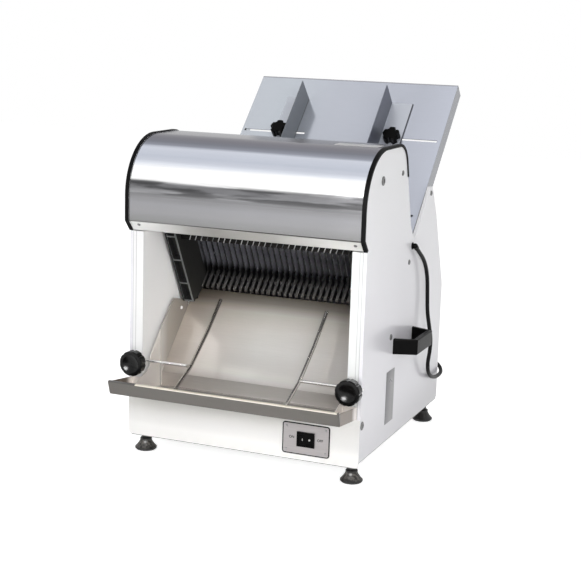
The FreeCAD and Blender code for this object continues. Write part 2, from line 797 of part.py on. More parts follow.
def build_sash_guides():
    """E-section slides on the inner panels; each channel takes one sash's side bar."""
    reach = sash_offset + sash_bar / 2 + guide_gap
    back = block_on_sash(sash_side_outer + guide_gap, panel_inner, guide_low, guide_high,
                         -reach, reach)
    ribs = [(-reach - guide_rib, -reach), (-sash_offset + sash_bar / 2 + guide_gap,
                                           sash_offset - sash_bar / 2 - guide_gap),
            (reach, reach + guide_rib)]
    guide = back
    for d0, d1 in ribs:
        guide = guide.fuse(block_on_sash(guide_lip, panel_inner, guide_low, guide_high, d0, d1))
    save_pair("sash_guide", guide.removeSplitter())


# ---------------------------------------------------------------- sashes
def build_sash(name, side, parity):
    """side is +1 for the sash in front of the blades and -1 for the one behind."""
    d0 = side * sash_offset - sash_bar / 2
    d1 = side * sash_offset + sash_bar / 2
    top = block_on_sash(-sash_side_outer, sash_side_outer, sash_top - sash_bar, sash_top, d0, d1)
    bottom = block_on_sash(-sash_side_outer, sash_side_outer, sash_bottom, sash_bottom + sash_bar,
                           d0, d1)
    right = block_on_sash(sash_side_inner, sash_side_outer, sash_bottom, sash_top, d0, d1)
    frame = top.fuse([bottom, right, mirror(right)])
    rod_x_mid = front_rod_x if side > 0 else rear_rod_x
    lug_x = rod_x_mid + rod_thickness / 2 + 0.5
    lug = block_on_sash(lug_x, lug_x + lug_thickness, rod_pin, sash_bottom + 5, d0, d1)
    pin_y, pin_z = sash_point(rod_pin, side * rod_pin_offset)
    lug = lug.fuse(rod_x(rod_eye_radius, pin_y, pin_z, lug_x, lug_x + lug_thickness))
    lug = lug.fuse(rod_x(rod_pin_radius + 2, pin_y, pin_z, lug_x + lug_thickness - 1,
                         lug_x + lug_thickness + 4))
    frame = frame.fuse([lug, mirror(lug)]).removeSplitter()
    save(name + "_sash", frame)
    blades = []
    hooks = []
    for i in range(blade_count):
        if i % 2 != parity:
            continue
        x = (i - (blade_count - 1) / 2) * blade_pitch
        blades.append(toothed_blade(x))
        for end in (blade_bottom, blade_top):
            hooks.append(blade_hook(x, end, side))
    save(name + "_blades", Part.Compound(blades))
    save(name + "_blade_hooks", Part.Compound(hooks))


def toothed_blade(x):
    """A thin blade, square at its hooked ends and slightly waisted along its cutting edge."""
    back = -blade_width / 2
    edge = blade_width / 2
    outline = [sash_point(blade_bottom, back), sash_point(blade_top, back),
               sash_point(blade_top, edge), sash_point(blade_top - 26, edge),
               sash_point(blade_top - 30, edge - 1.5), sash_point(blade_bottom + 30, edge - 1.5),
               sash_point(blade_bottom + 26, edge), sash_point(blade_bottom, edge)]
    return prism(outline, x - blade_thickness / 2, x + blade_thickness / 2)


def blade_hook(x, end, side):
    """Hook plate that ties a blade's end to its sash's cross bar."""
    bar_face = side * (sash_offset - sash_bar / 2)
    tip = side * (-blade_width / 2 + 2.0)
    inward = -6.0 if end > 0 else 6.0
    x0 = x + blade_thickness / 2
    u0, u1 = sorted((end + inward * 0.2, end + inward * 0.2 - inward * 2))
    d0, d1 = sorted((tip, bar_face))
    return block_on_sash(x0, x0 + hook_wire, u0, u1, d0, d1)


# ---------------------------------------------------------------- crank drive
def build_crank():
    shaft = rod_x(crank_radius, crank_y, crank_z, -bearing_x - bearing_width / 2,
                  bearing_x + bearing_width / 2)
    for side, x in ((1, front_rod_x), (-1, rear_rod_x)):
        y, z = sash_point(rod_pin - rod_length, side * eccentric_throw)
        for centre in (-x, x):
            disc = rod_x(eccentric_radius, y, z, centre - eccentric_width / 2,
                         centre + eccentric_width / 2)
            shaft = shaft.fuse(disc)
    save("crankshaft", shaft.removeSplitter())


def build_rods():
    for name, side, x in (("front", 1, front_rod_x), ("rear", -1, rear_rod_x)):
        big_y, big_z = sash_point(rod_pin - rod_length, side * eccentric_throw)
        pin_y, pin_z = sash_point(rod_pin, side * rod_pin_offset)
        x0 = x - rod_thickness / 2
        x1 = x + rod_thickness / 2
        strap = rod_x(strap_radius, big_y, big_z, x0, x1)
        eye = rod_x(rod_eye_radius, pin_y, pin_z, x0, x1)
        shank = block_on_sash(x0 + 1, x1 - 1, rod_pin - rod_length + eccentric_radius, rod_pin,
                              side * rod_pin_offset - 8, side * rod_pin_offset + 8)
        link = strap.fuse([eye, shank])
        link = link.cut(rod_x(eccentric_radius + run_gap, big_y, big_z, x0 - 1, x1 + 1))
        link = link.cut(rod_x(rod_pin_radius + run_gap, pin_y, pin_z, x0 - 1, x1 + 1))
        save_pair(name + "_connecting_rod", link.removeSplitter())


def build_bearings():
    """Pedestals on the base plate with a plain bush for the crankshaft."""
    foot_z = base_height + base_sheet
    x0 = bearing_x - bearing_width / 2
    x1 = bearing_x + bearing_width / 2
    body = box(x0, x1, crank_y - bearing_half, crank_y + bearing_half, foot_z, crank_z)
    body = body.fuse(rod_x(bearing_half, crank_y, crank_z, x0, x1))
    flange = box(x0 - 8, x1 + 8, crank_y - bearing_half - 8, crank_y + bearing_half + 8,
                 foot_z, foot_z + 8)
    body = body.fuse(flange)
    body = body.cut(rod_x(crank_radius + run_gap, crank_y, crank_z, x0 - 1, x1 + 1))
    save("crank_bearings", both([body.removeSplitter()]))


def pulley(radius, bore, y, z, x):
    wide = pulley_width / 2
    groove = belt_depth + 2.0
    profile = [(bore, -wide), (radius, -wide), (radius, -belt_width / 2 - 0.5),
               (radius - groove, -belt_width / 2 + 1.5), (radius - groove, belt_width / 2 - 1.5),
               (radius, belt_width / 2 + 0.5), (radius, wide), (bore, wide)]
    return turned(profile, (x, y, z), (1, 0, 0))


def build_pulleys():
    large = pulley(crank_pulley_radius, crank_radius, crank_y, crank_z, pulley_x)
    web = 16.0
    for i in range(5):
        angle = 2 * math.pi * i / 5
        reach = (crank_pulley_radius + crank_radius) / 2 - 4
        y = crank_y + reach * math.cos(angle)
        z = crank_z + reach * math.sin(angle)
        large = large.cut(rod_x(web * 0.65, y, z, pulley_x - 20, pulley_x + 20))
    save("crank_pulley", large)
    small = pulley(motor_pulley_radius, motor_shaft_radius, motor_y, motor_z, pulley_x)
    shaft = rod_x(motor_shaft_radius, motor_y, motor_z, motor_x1 - 20,
                  pulley_x + pulley_width / 2 + 2)
    save("motor_pulley", small.fuse(shaft).removeSplitter())


def build_belt():
    """V-belt round both pulleys, lying 0.4 mm off the bottom of the grooves."""
    inner = belt_loop(crank_pulley_radius - belt_depth - 1.6, motor_pulley_radius - belt_depth - 1.6)
    outer = belt_loop(crank_pulley_radius - 1.6, motor_pulley_radius - 1.6)
    half_belt = belt_width / 2 - 1.9
    ring = Part.Face([outer, inner]).extrude(Vector(2 * half_belt, 0, 0))
    ring.translate(Vector(pulley_x - half_belt, 0, 0))
    save("drive_belt", ring)


def belt_loop(large, small):
    dy = motor_y - crank_y
    dz = motor_z - crank_z
    distance = math.hypot(dy, dz)
    tilt = math.atan2(dz, dy)
    wrap = math.asin((large - small) / distance)
    places = {}
    for sign, name in ((1, "upper"), (-1, "lower")):
        angle = tilt + sign * (math.pi / 2 - wrap)
        for centre, radius, tag in (((crank_y, crank_z), large, "large"),
                                    ((motor_y, motor_z), small, "small")):
            places[tag, name] = Vector(0, centre[0] + radius * math.cos(angle),
                                       centre[1] + radius * math.sin(angle))
    far_large = Vector(0, crank_y - large * math.cos(tilt), crank_z - large * math.sin(tilt))
    far_small = Vector(0, motor_y + small * math.cos(tilt), motor_z + small * math.sin(tilt))
    return Part.Wire([
        Part.Arc(places["large", "upper"], far_large, places["large", "lower"]).toShape(),
        Part.LineSegment(places["large", "lower"], places["small", "lower"]).toShape(),
        Part.Arc(places["small", "lower"], far_small, places["small", "upper"]).toShape(),
        Part.LineSegment(places["small", "upper"], places["large", "upper"]).toShape()])


def build_motor():
    length = motor_x1 - motor_x0
    body = turned([(0, 0), (motor_radius - 8, 0), (motor_radius, 10),
                   (motor_radius, motor_body_length - 12), (motor_radius - 6, motor_body_length),
                   (motor_nose_radius, motor_body_length + 4), (motor_nose_radius, length),
                   (0, length)], (motor_x0, motor_y, motor_z), (1, 0, 0))
    body = body.cut(rod_x(motor_shaft_radius + run_gap, motor_y, motor_z, motor_x1 - 21,
                          motor_x1 + 1))
    foot_z = base_height + base_sheet
    for x in (motor_x0 + 30, motor_x0 + 120):
        foot = box(x, x + 14, motor_y - 46, motor_y + 46, foot_z, motor_z - 12)
        body = body.fuse(foot)
    save("drive_motor", body.removeSplitter())


# ---------------------------------------------------------------- discharge chute
def floor_height(y):
    """Height of the chute's trough floor, which rises gently towards its lip."""
    low_z = chute_fold_y + chute_rise - chute_step
    share = (chute_fold_y - y) / (chute_fold_y - chute_lip_y)
    return low_z + (chute_lip_z - low_z) * share


def build_chute():
    fold_z = chute_fold_y + chute_rise
    step_z = fold_z - chute_step
    slope = folded_sheet([(-0.9, floor_height(-0.9)), (chute_fold_y + 0.6, step_z),
                          (chute_fold_y, fold_z), (chute_top_y, chute_top_y + chute_rise)],
                         -chute_sheet, -chute_half_width, chute_half_width)
    notch_z = chute_notch_y + chute_rise - 12
    for side in (-1, 1):
        ends = sorted((side * (chute_half_width - chute_notch_depth), side * (chute_half_width + 5)))
        slope = slope.cut(box(ends[0], ends[1], chute_notch_y, chute_top_y + 20, notch_z - 20,
                              chute_top_y + chute_rise + 20))
    lip_top = (chute_lip_y - chute_lip_lean, chute_lip_z + chute_lip_height)
    trough = folded_sheet([(lip_top[0] + chute_hem, lip_top[1] + 0.6), lip_top,
                           (chute_lip_y, chute_lip_z), (-seat_gap - chute_sheet - 0.2,
                                                       floor_height(-seat_gap - chute_sheet))],
                          -chute_sheet, -chute_front_half_width, chute_front_half_width)
    wall_back = chute_wall_edge[-1][0]
    wall_outline = [(chute_wall_start, floor_height(chute_wall_start) - 0.5), *chute_wall_edge,
                    (wall_back, wall_back + chute_rise - 1), (chute_fold_y, fold_z - 1),
                    (chute_fold_y, step_z - 0.6), (0, floor_height(0) - 0.6)]
    wall = prism(wall_outline, chute_half_width, chute_half_width + chute_sheet)
    wall = wall.cut(rod_x(chute_screw_radius * 0.6, chute_screw[0], chute_screw[1],
                          chute_half_width - 2, chute_half_width + 5))
    end_outline = [lip_top, (chute_lip_y, chute_lip_z - 0.2), (-seat_gap, floor_height(0) - 0.6),
                   (-seat_gap, floor_height(0) + chute_ear_height)]
    end = prism(end_outline, chute_front_half_width - 0.2, chute_front_half_width + chute_sheet)
    ear = box(chute_half_width, chute_front_half_width, -seat_gap - chute_sheet, -seat_gap,
              floor_height(0) - 0.8, floor_height(0) + chute_ear_height)
    chute = slope.fuse([trough, wall, mirror(wall), end, mirror(end), ear, mirror(ear)])
    save("discharge_chute", chute.removeSplitter())
    head = turned([(0, 0), (chute_screw_radius, 0), (chute_screw_radius * 0.7, 2.0), (0, 2.4)],
                  (chute_half_width - 0.05, *chute_screw), (-1, 0, 0))
    shank = rod_x(1.5, chute_screw[0], chute_screw[1], chute_half_width - 0.5, panel_inner + 4)
    save("chute_screws", both([head.fuse(shank)]))


def build_slice_guides():
    points = [Vector(slice_guide_x, y, z) for y, z in slice_guide_path]
    radii = [guide_bend_radius] * (len(points) - 2)
    bar = swept_rod(rounded_run(points, radii), slice_guide_radius, points[0],
                    points[1] - points[0])
    arm = rod_x(clamp_rod_radius, clamp_rod_y, clamp_rod_z, slice_guide_x, half - 0.5)
    save_pair("slice_guide", bar.fuse(arm))
    block = box(clamp_x - clamp_block_half, clamp_x + clamp_block_half, sheet,
                sheet + clamp_block_depth, clamp_rod_z - clamp_block_half_height,
                clamp_rod_z + clamp_block_half_height)
    block = block.cut(rod_x(clamp_rod_radius + run_gap, clamp_rod_y, clamp_rod_z,
                            clamp_x - 20, clamp_x + 20))
    block = block.cut(rod((clamp_x, 0, clamp_rod_z), (clamp_x, clamp_rod_y, clamp_rod_z),
                          stud_radius + run_gap))
    save("clamp_blocks", both([block]))
    back = -star_knob_front + star_knob_thickness
    head = lobed_disc(star_knob_radius, star_lobes, star_lobe_depth, star_knob_thickness,
                      (clamp_x, back, clamp_rod_z), (0, -1, 0), 5.0)
    collar = rod((clamp_x, back - 1, clamp_rod_z), (clamp_x, -seat_gap, clamp_rod_z), 8.0)
    stud = rod((clamp_x, back - 1, clamp_rod_z),
               (clamp_x, clamp_rod_y - clamp_rod_radius - seat_gap, clamp_rod_z), stud_radius)
    save_pair("star_knob", head.fuse([collar, stud]))


# ---------------------------------------------------------------- switch
def build_switch():
    front = -sheet - switch_plate_sheet
    plate = box(switch_x - switch_plate_width / 2, switch_x + switch_plate_width / 2, front,
                -sheet, switch_z - switch_plate_height / 2, switch_z + switch_plate_height / 2)
    corners = [e for e in plate.Edges if e.BoundBox.YLength > 1 and e.BoundBox.XLength < 0.01
               and e.BoundBox.ZLength < 0.01]
    plate = plate.makeFillet(switch_plate_corner, corners)
    opening = box(switch_x - bezel_width / 2 + 2, switch_x + bezel_width / 2 - 2, front - 3, 3,
                  switch_z - bezel_height / 2 + 2, switch_z + bezel_height / 2 - 2)
    save("switch_plate", plate.cut(opening))
    screws = []
    for dx in (-1, 1):
        for dz in (-1, 1):
            x = switch_x + dx * (switch_plate_width / 2 - 6)
            z = switch_z + dz * (switch_plate_height / 2 - 6)
            screws.append(turned([(0, 0), (2.6, 0), (1.8, 1.2), (0, 1.5)], (x, front, z),
                                 (0, -1, 0)))
    save("switch_plate_screws", Part.Compound(screws))
    bezel = box(switch_x - bezel_width / 2, switch_x + bezel_width / 2, front - bezel_depth,
                front, switch_z - bezel_height / 2, switch_z + bezel_height / 2)
    body = box(switch_x - bezel_width / 2 + 2.3, switch_x + bezel_width / 2 - 2.3,
               front - 0.5, front + switch_body_depth,
               switch_z - bezel_height / 2 + 2.3, switch_z + bezel_height / 2 - 2.3)
    housing = bezel.fuse(body)
    well = box(switch_x - rocker_width / 2 - 0.8, switch_x + rocker_width / 2 + 0.8,
               front - bezel_depth - 1, front + 11,
               switch_z - rocker_height / 2 - 0.5, switch_z + rocker_height / 2 + 0.5)
    pivot_y = front + rocker_pivot_depth
    pin_hole = rod((switch_x, pivot_y, switch_z - rocker_pin_half - seat_gap),
                   (switch_x, pivot_y, switch_z + rocker_pin_half + seat_gap),
                   rocker_pin_radius + run_gap)
    save("switch_housing", housing.cut([well, pin_hole]).removeSplitter())
    build_rocker(front)


def build_rocker(front):
    """Rocker that tips left and right on a vertical pin, resting with its left side in."""
    pivot_y = front + rocker_pivot_depth
    corners = [(-rocker_width / 2, -4.2), (0, -2.4), (rocker_width / 2, -4.2),
               (rocker_width / 2 - 2.5, 1.5), (-rocker_width / 2 + 2.5, 1.5)]
    z0 = switch_z - rocker_height / 2
    outline = [Vector(switch_x + x, pivot_y - bezel_depth + y, z0) for x, y in corners]
    rocker = Part.Face(Part.makePolygon(outline + outline[:1])).extrude(Vector(0, 0, rocker_height))
    rocker = rocker.fuse([
        rod((switch_x, pivot_y, z0), (switch_x, pivot_y, z0 + rocker_height), rocker_hub_radius),
        rod((switch_x, pivot_y, switch_z - rocker_pin_half),
            (switch_x, pivot_y, switch_z + rocker_pin_half), rocker_pin_radius)])
    rocker.rotate(Vector(switch_x, pivot_y, 0), Vector(0, 0, 1), rocker_tilt)
    save("switch_rocker", rocker)


# ---------------------------------------------------------------- handles
def build_handles():
    """A bow handle: a wide band that leaves the side plate, runs along it and comes back."""
    outer = [(half, handle_front_y), (half + handle_reach, handle_grip_front),
             (half + handle_reach, handle_grip_back), (half, handle_back_y)]
    inner_x = half + handle_reach - handle_thickness
    inner = [(half, handle_back_y - handle_thickness * 1.2),
             (inner_x, handle_grip_back - handle_thickness * 0.55),
             (inner_x, handle_grip_front + handle_thickness * 0.55),
             (half, handle_front_y + handle_thickness * 1.2)]
    z0 = handle_z - handle_band / 2
    corners = [Vector(x, y, z0) for x, y in outer + inner]
    band = Part.Face(Part.makePolygon(corners + corners[:1])).extrude(Vector(0, 0, handle_band))
    outside = [e for e in band.Edges if e.BoundBox.XMin > inner_x + 0.01 or
               (e.BoundBox.ZLength < 0.01 and e.BoundBox.XMin > half - 0.01
                and e.BoundBox.XLength > 1)]
    band = band.makeFillet(handle_round, outside)
    save_pair("side_handle", band)


# ---------------------------------------------------------------- mains cord
def build_relief():
    """Moulded elbow that leads the cord out of the plate and turns it down along the plate."""
    y, z = relief_centre.y, relief_centre.z
    stem = rod_x(relief_stem_radius, y, z, half - sheet - 6, half + 0.1)
    flange = rod_x(relief_flange_radius, y, z, half, half + relief_flange)
    neck = rod_x(relief_radius, y, z, half, relief_centre.x)
    knuckle = Part.makeSphere(relief_knuckle_radius, relief_centre)
    barrel = Part.makeCylinder(relief_radius, relief_length, relief_centre, cord_heading)
    save("cord_relief", stem.fuse([flange, neck, knuckle, barrel]))


def build_cord():
    points = [Vector(*p) for p in cord_points]
    radii = widest_radii(points)
    wire = rounded_run(points, radii)
    tube = swept_rod(wire, cord_radius, points[0], points[1] - points[0])
    print("cord radii", [round(r, 1) for r in radii])
    section = math.pi * cord_radius ** 2
    print("cord volume", round(tube.Volume), "section x length", round(section * wire.Length),
          "length", round(wire.Length, 1))
    save("mains_cord", tube)
    inner = coil_mean_radius - coil_half_width
    outer = coil_mean_radius + coil_half_width
    low = floor_level + seat_gap
    coil = turned([(inner + coil_round, low), (outer - coil_round, low), (outer, low + coil_round),
                   (outer, low + coil_height - coil_round), (outer - coil_round, low + coil_height),
                   (inner + coil_round, low + coil_height), (inner, low + coil_height - coil_round),
                   (inner, low + coil_round)], (coil_x, coil_y, 0), (0, 0, 1))
    save("mains_cord_coil", coil)
    build_plug(outer)


def build_plug(coil_outer):
    """Moulded two-pin plug on the floor, where the coil's outer turn runs out straight."""
    offset = coil_mean_radius + coil_turn_offset
    x_near = coil_x - math.sqrt(coil_outer ** 2 - (offset - plug_neck_radius) ** 2)
    y_mid = coil_y + offset
    low = floor_level + seat_gap
    z_mid = low + plug_depth / 2
    grip = turned([(0, 0), (plug_neck_radius, 0), (plug_neck_radius + 2, plug_grip_length),
                   (0, plug_grip_length)], (x_near, y_mid, z_mid), (-1, 0, 0))
    body = box(x_near - plug_grip_length - plug_length, x_near - plug_grip_length + 1,
               y_mid - plug_width / 2, y_mid + plug_width / 2, low, low + plug_depth)
    body = body.makeFillet(4.0, [e for e in body.Edges if e.BoundBox.XLength > 1])
    plug = body.fuse(grip)
    x_face = x_near - plug_grip_length - plug_length
    for side in (-1, 1):
        y = y_mid + side * pin_half_pitch
        plug = plug.fuse(rod((x_face + 2, y, z_mid), (x_face - pin_length, y, z_mid), pin_radius))
    save("mains_plug", plug)


build_side_plates()
build_side_bolts()
build_inner_panels()
build_front_panel()
build_base()
build_feet()
build_rear_cover()
build_hood()
build_trims()
build_tray()
build_comb()
build_loaf_guides()
build_rails()
build_crossbar()
build_sash_guides()
build_sash("front", 1, 0)
build_sash("rear", -1, 1)
build_crank()
build_rods()
build_bearings()
build_pulleys()
build_belt()
build_motor()
build_chute()
build_slice_guides()
build_switch()
build_handles()
build_relief()
build_cord()
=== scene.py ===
import math
import bmesh
import bpy
from mathutils import Matrix, Vector


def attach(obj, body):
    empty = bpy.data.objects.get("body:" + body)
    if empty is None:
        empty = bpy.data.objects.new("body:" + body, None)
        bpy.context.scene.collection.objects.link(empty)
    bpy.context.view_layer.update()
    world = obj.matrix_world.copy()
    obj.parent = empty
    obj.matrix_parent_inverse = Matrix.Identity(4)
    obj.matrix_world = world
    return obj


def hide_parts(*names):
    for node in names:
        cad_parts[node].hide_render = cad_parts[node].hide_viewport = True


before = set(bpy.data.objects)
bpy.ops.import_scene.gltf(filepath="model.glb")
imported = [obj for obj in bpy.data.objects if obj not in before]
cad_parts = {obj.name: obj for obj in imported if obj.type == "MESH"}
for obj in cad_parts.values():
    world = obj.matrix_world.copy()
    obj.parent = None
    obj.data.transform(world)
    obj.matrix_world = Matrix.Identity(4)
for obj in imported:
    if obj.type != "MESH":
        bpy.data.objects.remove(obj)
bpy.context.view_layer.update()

MM = 0.001
upright_y = -0.25536               # where the uprights' front faces lie, from front to back
floor_level = 0.008                # heights below are drawn from 8 mm under the floor
bed_top = 1296.0                   # depth and height added up, at the tray's top edge
bed_rise = 124.0                   # how much higher than deep the tray's surface lies
blades_foot = (212.65, 336.65)     # depth and height where the blades cross the bed
sash_lean = math.radians(60.0)     # the blades' slope from level


def place(x, y, z):
    """A point in millimetres, measured back from the uprights' front faces."""
    return Vector((x * MM, y * MM + upright_y, z * MM - floor_level))


# ------------------------------------------------------------------ shader nodes
class Wire:
    """A shader socket that Python arithmetic can be written on."""

    def __init__(self, nodes, socket):
        self.nodes = nodes
        self.socket = socket

    def math(self, operation, *others):
        return self.nodes.maths(operation, self, *others)

    def __add__(self, other):
        return self.math("ADD", other)

    __radd__ = __add__

    def __mul__(self, other):
        return self.math("MULTIPLY", other)

    __rmul__ = __mul__

    def __sub__(self, other):
        return self.math("SUBTRACT", other)

    def __rsub__(self, other):
        return self.nodes.maths("SUBTRACT", other, self)

    def __truediv__(self, other):
        return self.math("DIVIDE", other)

    def rising(self, low, high):
        """0 below low, 1 above high; the other way round where low is the higher."""
        made = self.nodes.node("ShaderNodeMapRange", {"interpolation_type": "SMOOTHSTEP"}, {
            "Value": self, "From Min": low, "From Max": high})
        return Wire(self.nodes, made.outputs[0])

    def within(self, low, high, soft):
        """1 between low and high, and 0 beyond them by more than soft."""
        return self.rising(low - soft, low) * self.rising(high + soft, high)


class Nodes:
    """A node tree, emptied and built up anew."""

    def __init__(self, tree):
        self.tree = tree
        self.tree.nodes.clear()

    def node(self, kind, settings=None, sockets=None):
        made = self.tree.nodes.new(kind)
        for name, value in (settings or {}).items():
            if name == "stops":
                self.fill_ramp(made.color_ramp, value)
            else:
                setattr(made, name, value)
        for name, value in (sockets or {}).items():
            self.feed(made.inputs[name], value)
        return made

    def fill_ramp(self, ramp, stops):
        while len(ramp.elements) < len(stops):
            ramp.elements.new(0.5)
        for element, (position, colour) in zip(ramp.elements, stops):
            element.position = position
            element.color = (*colour, 1.0)

    def feed(self, socket, value):
        if isinstance(value, Wire):
            value = value.socket
        if isinstance(value, bpy.types.NodeSocket):
            self.tree.links.new(value, socket)
        elif isinstance(value, (tuple, list)) and len(value) == 3 and socket.type == "RGBA":
            socket.default_value = (*value, 1.0)
        else:
            socket.default_value = value

    def maths(self, operation, *values):
        made = self.node("ShaderNodeMath", {"operation": operation}, dict(enumerate(values)))
        return Wire(self, made.outputs[0])

    def seen(self):
        """1 for rays from the camera, off a mirror or through glass, and 0 for the rest."""
        rays = self.node("ShaderNodeLightPath")
        camera_ray, glossy_ray, clear_ray = [Wire(self, rays.outputs[name]) for name in (
            "Is Camera Ray", "Is Glossy Ray", "Is Transmission Ray")]
        return camera_ray.math("MAXIMUM", glossy_ray).math("MAXIMUM", clear_ray)


class Finish(Nodes):
    """One material, built round a Principled surface."""

    def __init__(self, name, **sockets):
        self.material = bpy.data.materials.new(name)
        self.material.use_nodes = True
        super().__init__(self.material.node_tree)
        self.surface = self.node("ShaderNodeBsdfPrincipled", {}, sockets)
        self.output = self.node("ShaderNodeOutputMaterial", {}, {
            "Surface": self.surface.outputs[0]})

    def set(self, **sockets):
        names = {"colour": "Base Color", "roughness": "Roughness", "metallic": "Metallic",
                 "coat": "Coat Weight", "normal": "Normal"}
        for name, value in sockets.items():
            self.feed(self.surface.inputs[names[name]], value)

    def place(self):
        """Width, depth and height in the same millimetres as place() takes."""
        made = self.node("ShaderNodeTexCoord")
        parts = self.node("ShaderNodeSeparateXYZ", {}, {0: made.outputs["Object"]})
        x, y, z = [Wire(self, parts.outputs[i]) for i in range(3)]
        return x / MM, (y - upright_y) / MM, (z + floor_level) / MM

    def speckle(self, scale, detail, stretch=(1.0, 1.0, 1.0)):
        """Noise from 0 to 1; a stretch under 1 draws it out along that axis."""
        where = self.node("ShaderNodeTexCoord")
        mapped = self.node("ShaderNodeMapping", {}, {
            "Vector": where.outputs["Object"], "Scale": stretch})
        noise = self.node("ShaderNodeTexNoise", {}, {
            "Vector": mapped.outputs[0], "Scale": scale, "Detail": detail})
        return Wire(self, noise.outputs["Fac"])

    def shades(self, factor, low, high, stops):
        """A colour that follows a measure through its (measure, display colour) stops."""
        share = (factor - low) / (high - low)
        placed = [((at - low) / (high - low), tone(*colour)) for at, colour in stops]
        return self.node("ShaderNodeValToRGB", {"stops": placed}, {"Fac": share}).outputs[0]

    def mixed(self, factor, first, second, blend="MIX"):
        made = self.node("ShaderNodeMix", {"data_type": "RGBA", "blend_type": blend})
        self.feed(made.inputs[0], factor)
        self.feed(made.inputs[6], first)
        self.feed(made.inputs[7], second)
        return made.outputs[2]

    def patched(self, colour, *patches):
        """A colour with others laid over it, each given as (mask, colour)."""
        for mask, over in patches:
            colour = self.mixed(mask, colour, over)
        return colour

    def grained(self, colour, grain, depth):
        """A colour made lighter and darker by a 0 to 1 grain."""
        shade = grain * (2 * depth) + (1 - depth)
        grey = self.node("ShaderNodeCombineColor", {}, {0: shade, 1: shade, 2: shade})
        return self.mixed(1.0, colour, grey.outputs[0], "MULTIPLY")

    def bumped(self, height, strength, distance):
        made = self.node("ShaderNodeBump", {}, {
            "Strength": strength, "Distance": distance, "Height": height})
        return made.outputs[0]


def tone(red, green, blue):
    """A display colour from 0 to 255 as the linear colour that shows it."""
    def linear(level):
        level = level / 255.0
        return level / 12.92 if level <= 0.04045 else ((level + 0.055) / 1.055) ** 2.4
    return linear(red), linear(green), linear(blue)


def plain(*colour):
    """A shade function for a surface that is one colour all over."""
    return lambda finish: tone(*colour)


def measured(finish, setting):
    """A setting given as a number, or as a function that works it out from the surface."""
    return setting(finish) if callable(setting) else setting


# ------------------------------------------------------------------ kinds of finish
def powder_coat(name, shades):
    """Baked white paint: nearly even, with a faint orange peel under its gloss."""
    finish = Finish(name)
    cloud = finish.speckle(9.0, 4.0)
    peel = finish.speckle(900.0, 2.0)
    finish.set(colour=finish.grained(shades(finish), cloud, 0.012),
               roughness=cloud * 0.06 + 0.29, coat=0.25,
               normal=finish.bumped(peel, 0.06, 0.0004))
    return finish.material


def brushed_steel(name, shades, roughness, metallic, grain=(0.02, 1.0, 1.0), depth=0.05,
                  edge=1.0):
    """Sheet steel with a fine grain along the axis whose stretch is small."""
    finish = Finish(name, **{"Specular Tint": (edge, edge, edge)})
    lines = finish.speckle(1400.0, 2.0, grain)
    cloud = finish.speckle(7.0, 3.0)
    base = finish.grained(shades(finish), lines, depth)
    finish.set(colour=finish.grained(base, cloud, 0.03), metallic=measured(finish, metallic),
               roughness=lines * 0.10 + cloud * 0.05 + (measured(finish, roughness) - 0.07),
               normal=finish.bumped(lines, 0.05, 0.0003))
    return finish.material


def bright_metal(name, shades, roughness, metallic=1.0):
    """Turned or drawn steel and alloy, hardly marked."""
    finish = Finish(name)
    cloud = finish.speckle(60.0, 3.0)
    finish.set(colour=finish.grained(shades(finish), cloud, 0.05), metallic=metallic,
               roughness=cloud * 0.1 + (roughness - 0.05))
    return finish.material


def moulded(name, shades, roughness, shine=0.2):
    """Black plastic and rubber, with a fine pored skin."""
    finish = Finish(name, **{"Specular IOR Level": shine})
    cloud = finish.speckle(30.0, 3.0)
    pores = finish.speckle(1500.0, 2.0)
    finish.set(colour=finish.grained(shades(finish), cloud, 0.12),
               roughness=cloud * 0.12 + (roughness - 0.06),
               normal=finish.bumped(pores, 0.12, 0.0003))
    return finish.material


def painted_metal(name, shades, roughness=0.4, metallic=0.0):
    """Coloured paint, ink, foil or cast iron, with a fine peel."""
    finish = Finish(name)
    cloud = finish.speckle(18.0, 4.0)
    peel = finish.speckle(700.0, 2.0)
    finish.set(colour=finish.grained(shades(finish), cloud, 0.08), metallic=metallic,
               roughness=cloud * 0.15 + (roughness - 0.07),
               normal=finish.bumped(peel, 0.1, 0.0004))
    return finish.material


# ------------------------------------------------------------------ hood
arch_centre = (90.0, 509.0)        # depth and height
arch_radius = 108.0
# radians round the arch, and the tone there: bands of painted reflection, with painted shade in
# the dark fold above the hem
hood_bands = (
    (-0.70, (226, 226, 224)), (-0.457, (226, 226, 224)), (-0.452, (40, 40, 40)),
    (-0.444, (44, 44, 44)), (-0.434, (132, 132, 132)), (-0.26, (147, 147, 149)),
    (-0.13, (148, 148, 151)), (0.0, (135, 135, 137)), (0.08, (124, 124, 126)),
    (0.15, (98, 98, 100)), (0.225, (94, 94, 96)), (0.255, (120, 120, 122)),
    (0.295, (238, 238, 238)), (0.34, (252, 252, 252)), (0.53, (255, 255, 255)),
    (0.59, (224, 228, 237)), (0.66, (200, 204, 215)), (0.74, (193, 198, 210)),
    (0.95, (207, 211, 222)), (1.01, (150, 153, 164)), (1.12, (128, 130, 139)),
    (1.26, (132, 131, 139)), (1.40, (145, 144, 152)), (1.60, (160, 158, 166)),
    (2.00, (180, 180, 185)),
    (2.40, (206, 208, 214)), (2.70, (168, 170, 176)), (3.20, (140, 140, 145)))


def hood_angle(finish):
    """Radians round the hood's arch, from its lower front edge to its rear edge."""
    _, y, z = finish.place()
    up = z - arch_centre[1]
    below = up.math("MINIMUM", 0.0) / arch_radius
    behind = (y - arch_centre[0]).math("MAXIMUM", 0.0) / arch_radius
    ahead = (arch_centre[0] - y).math("MAXIMUM", 0.01)
    return below + up.math("MAXIMUM", 0.0).math("ARCTAN2", ahead) + behind


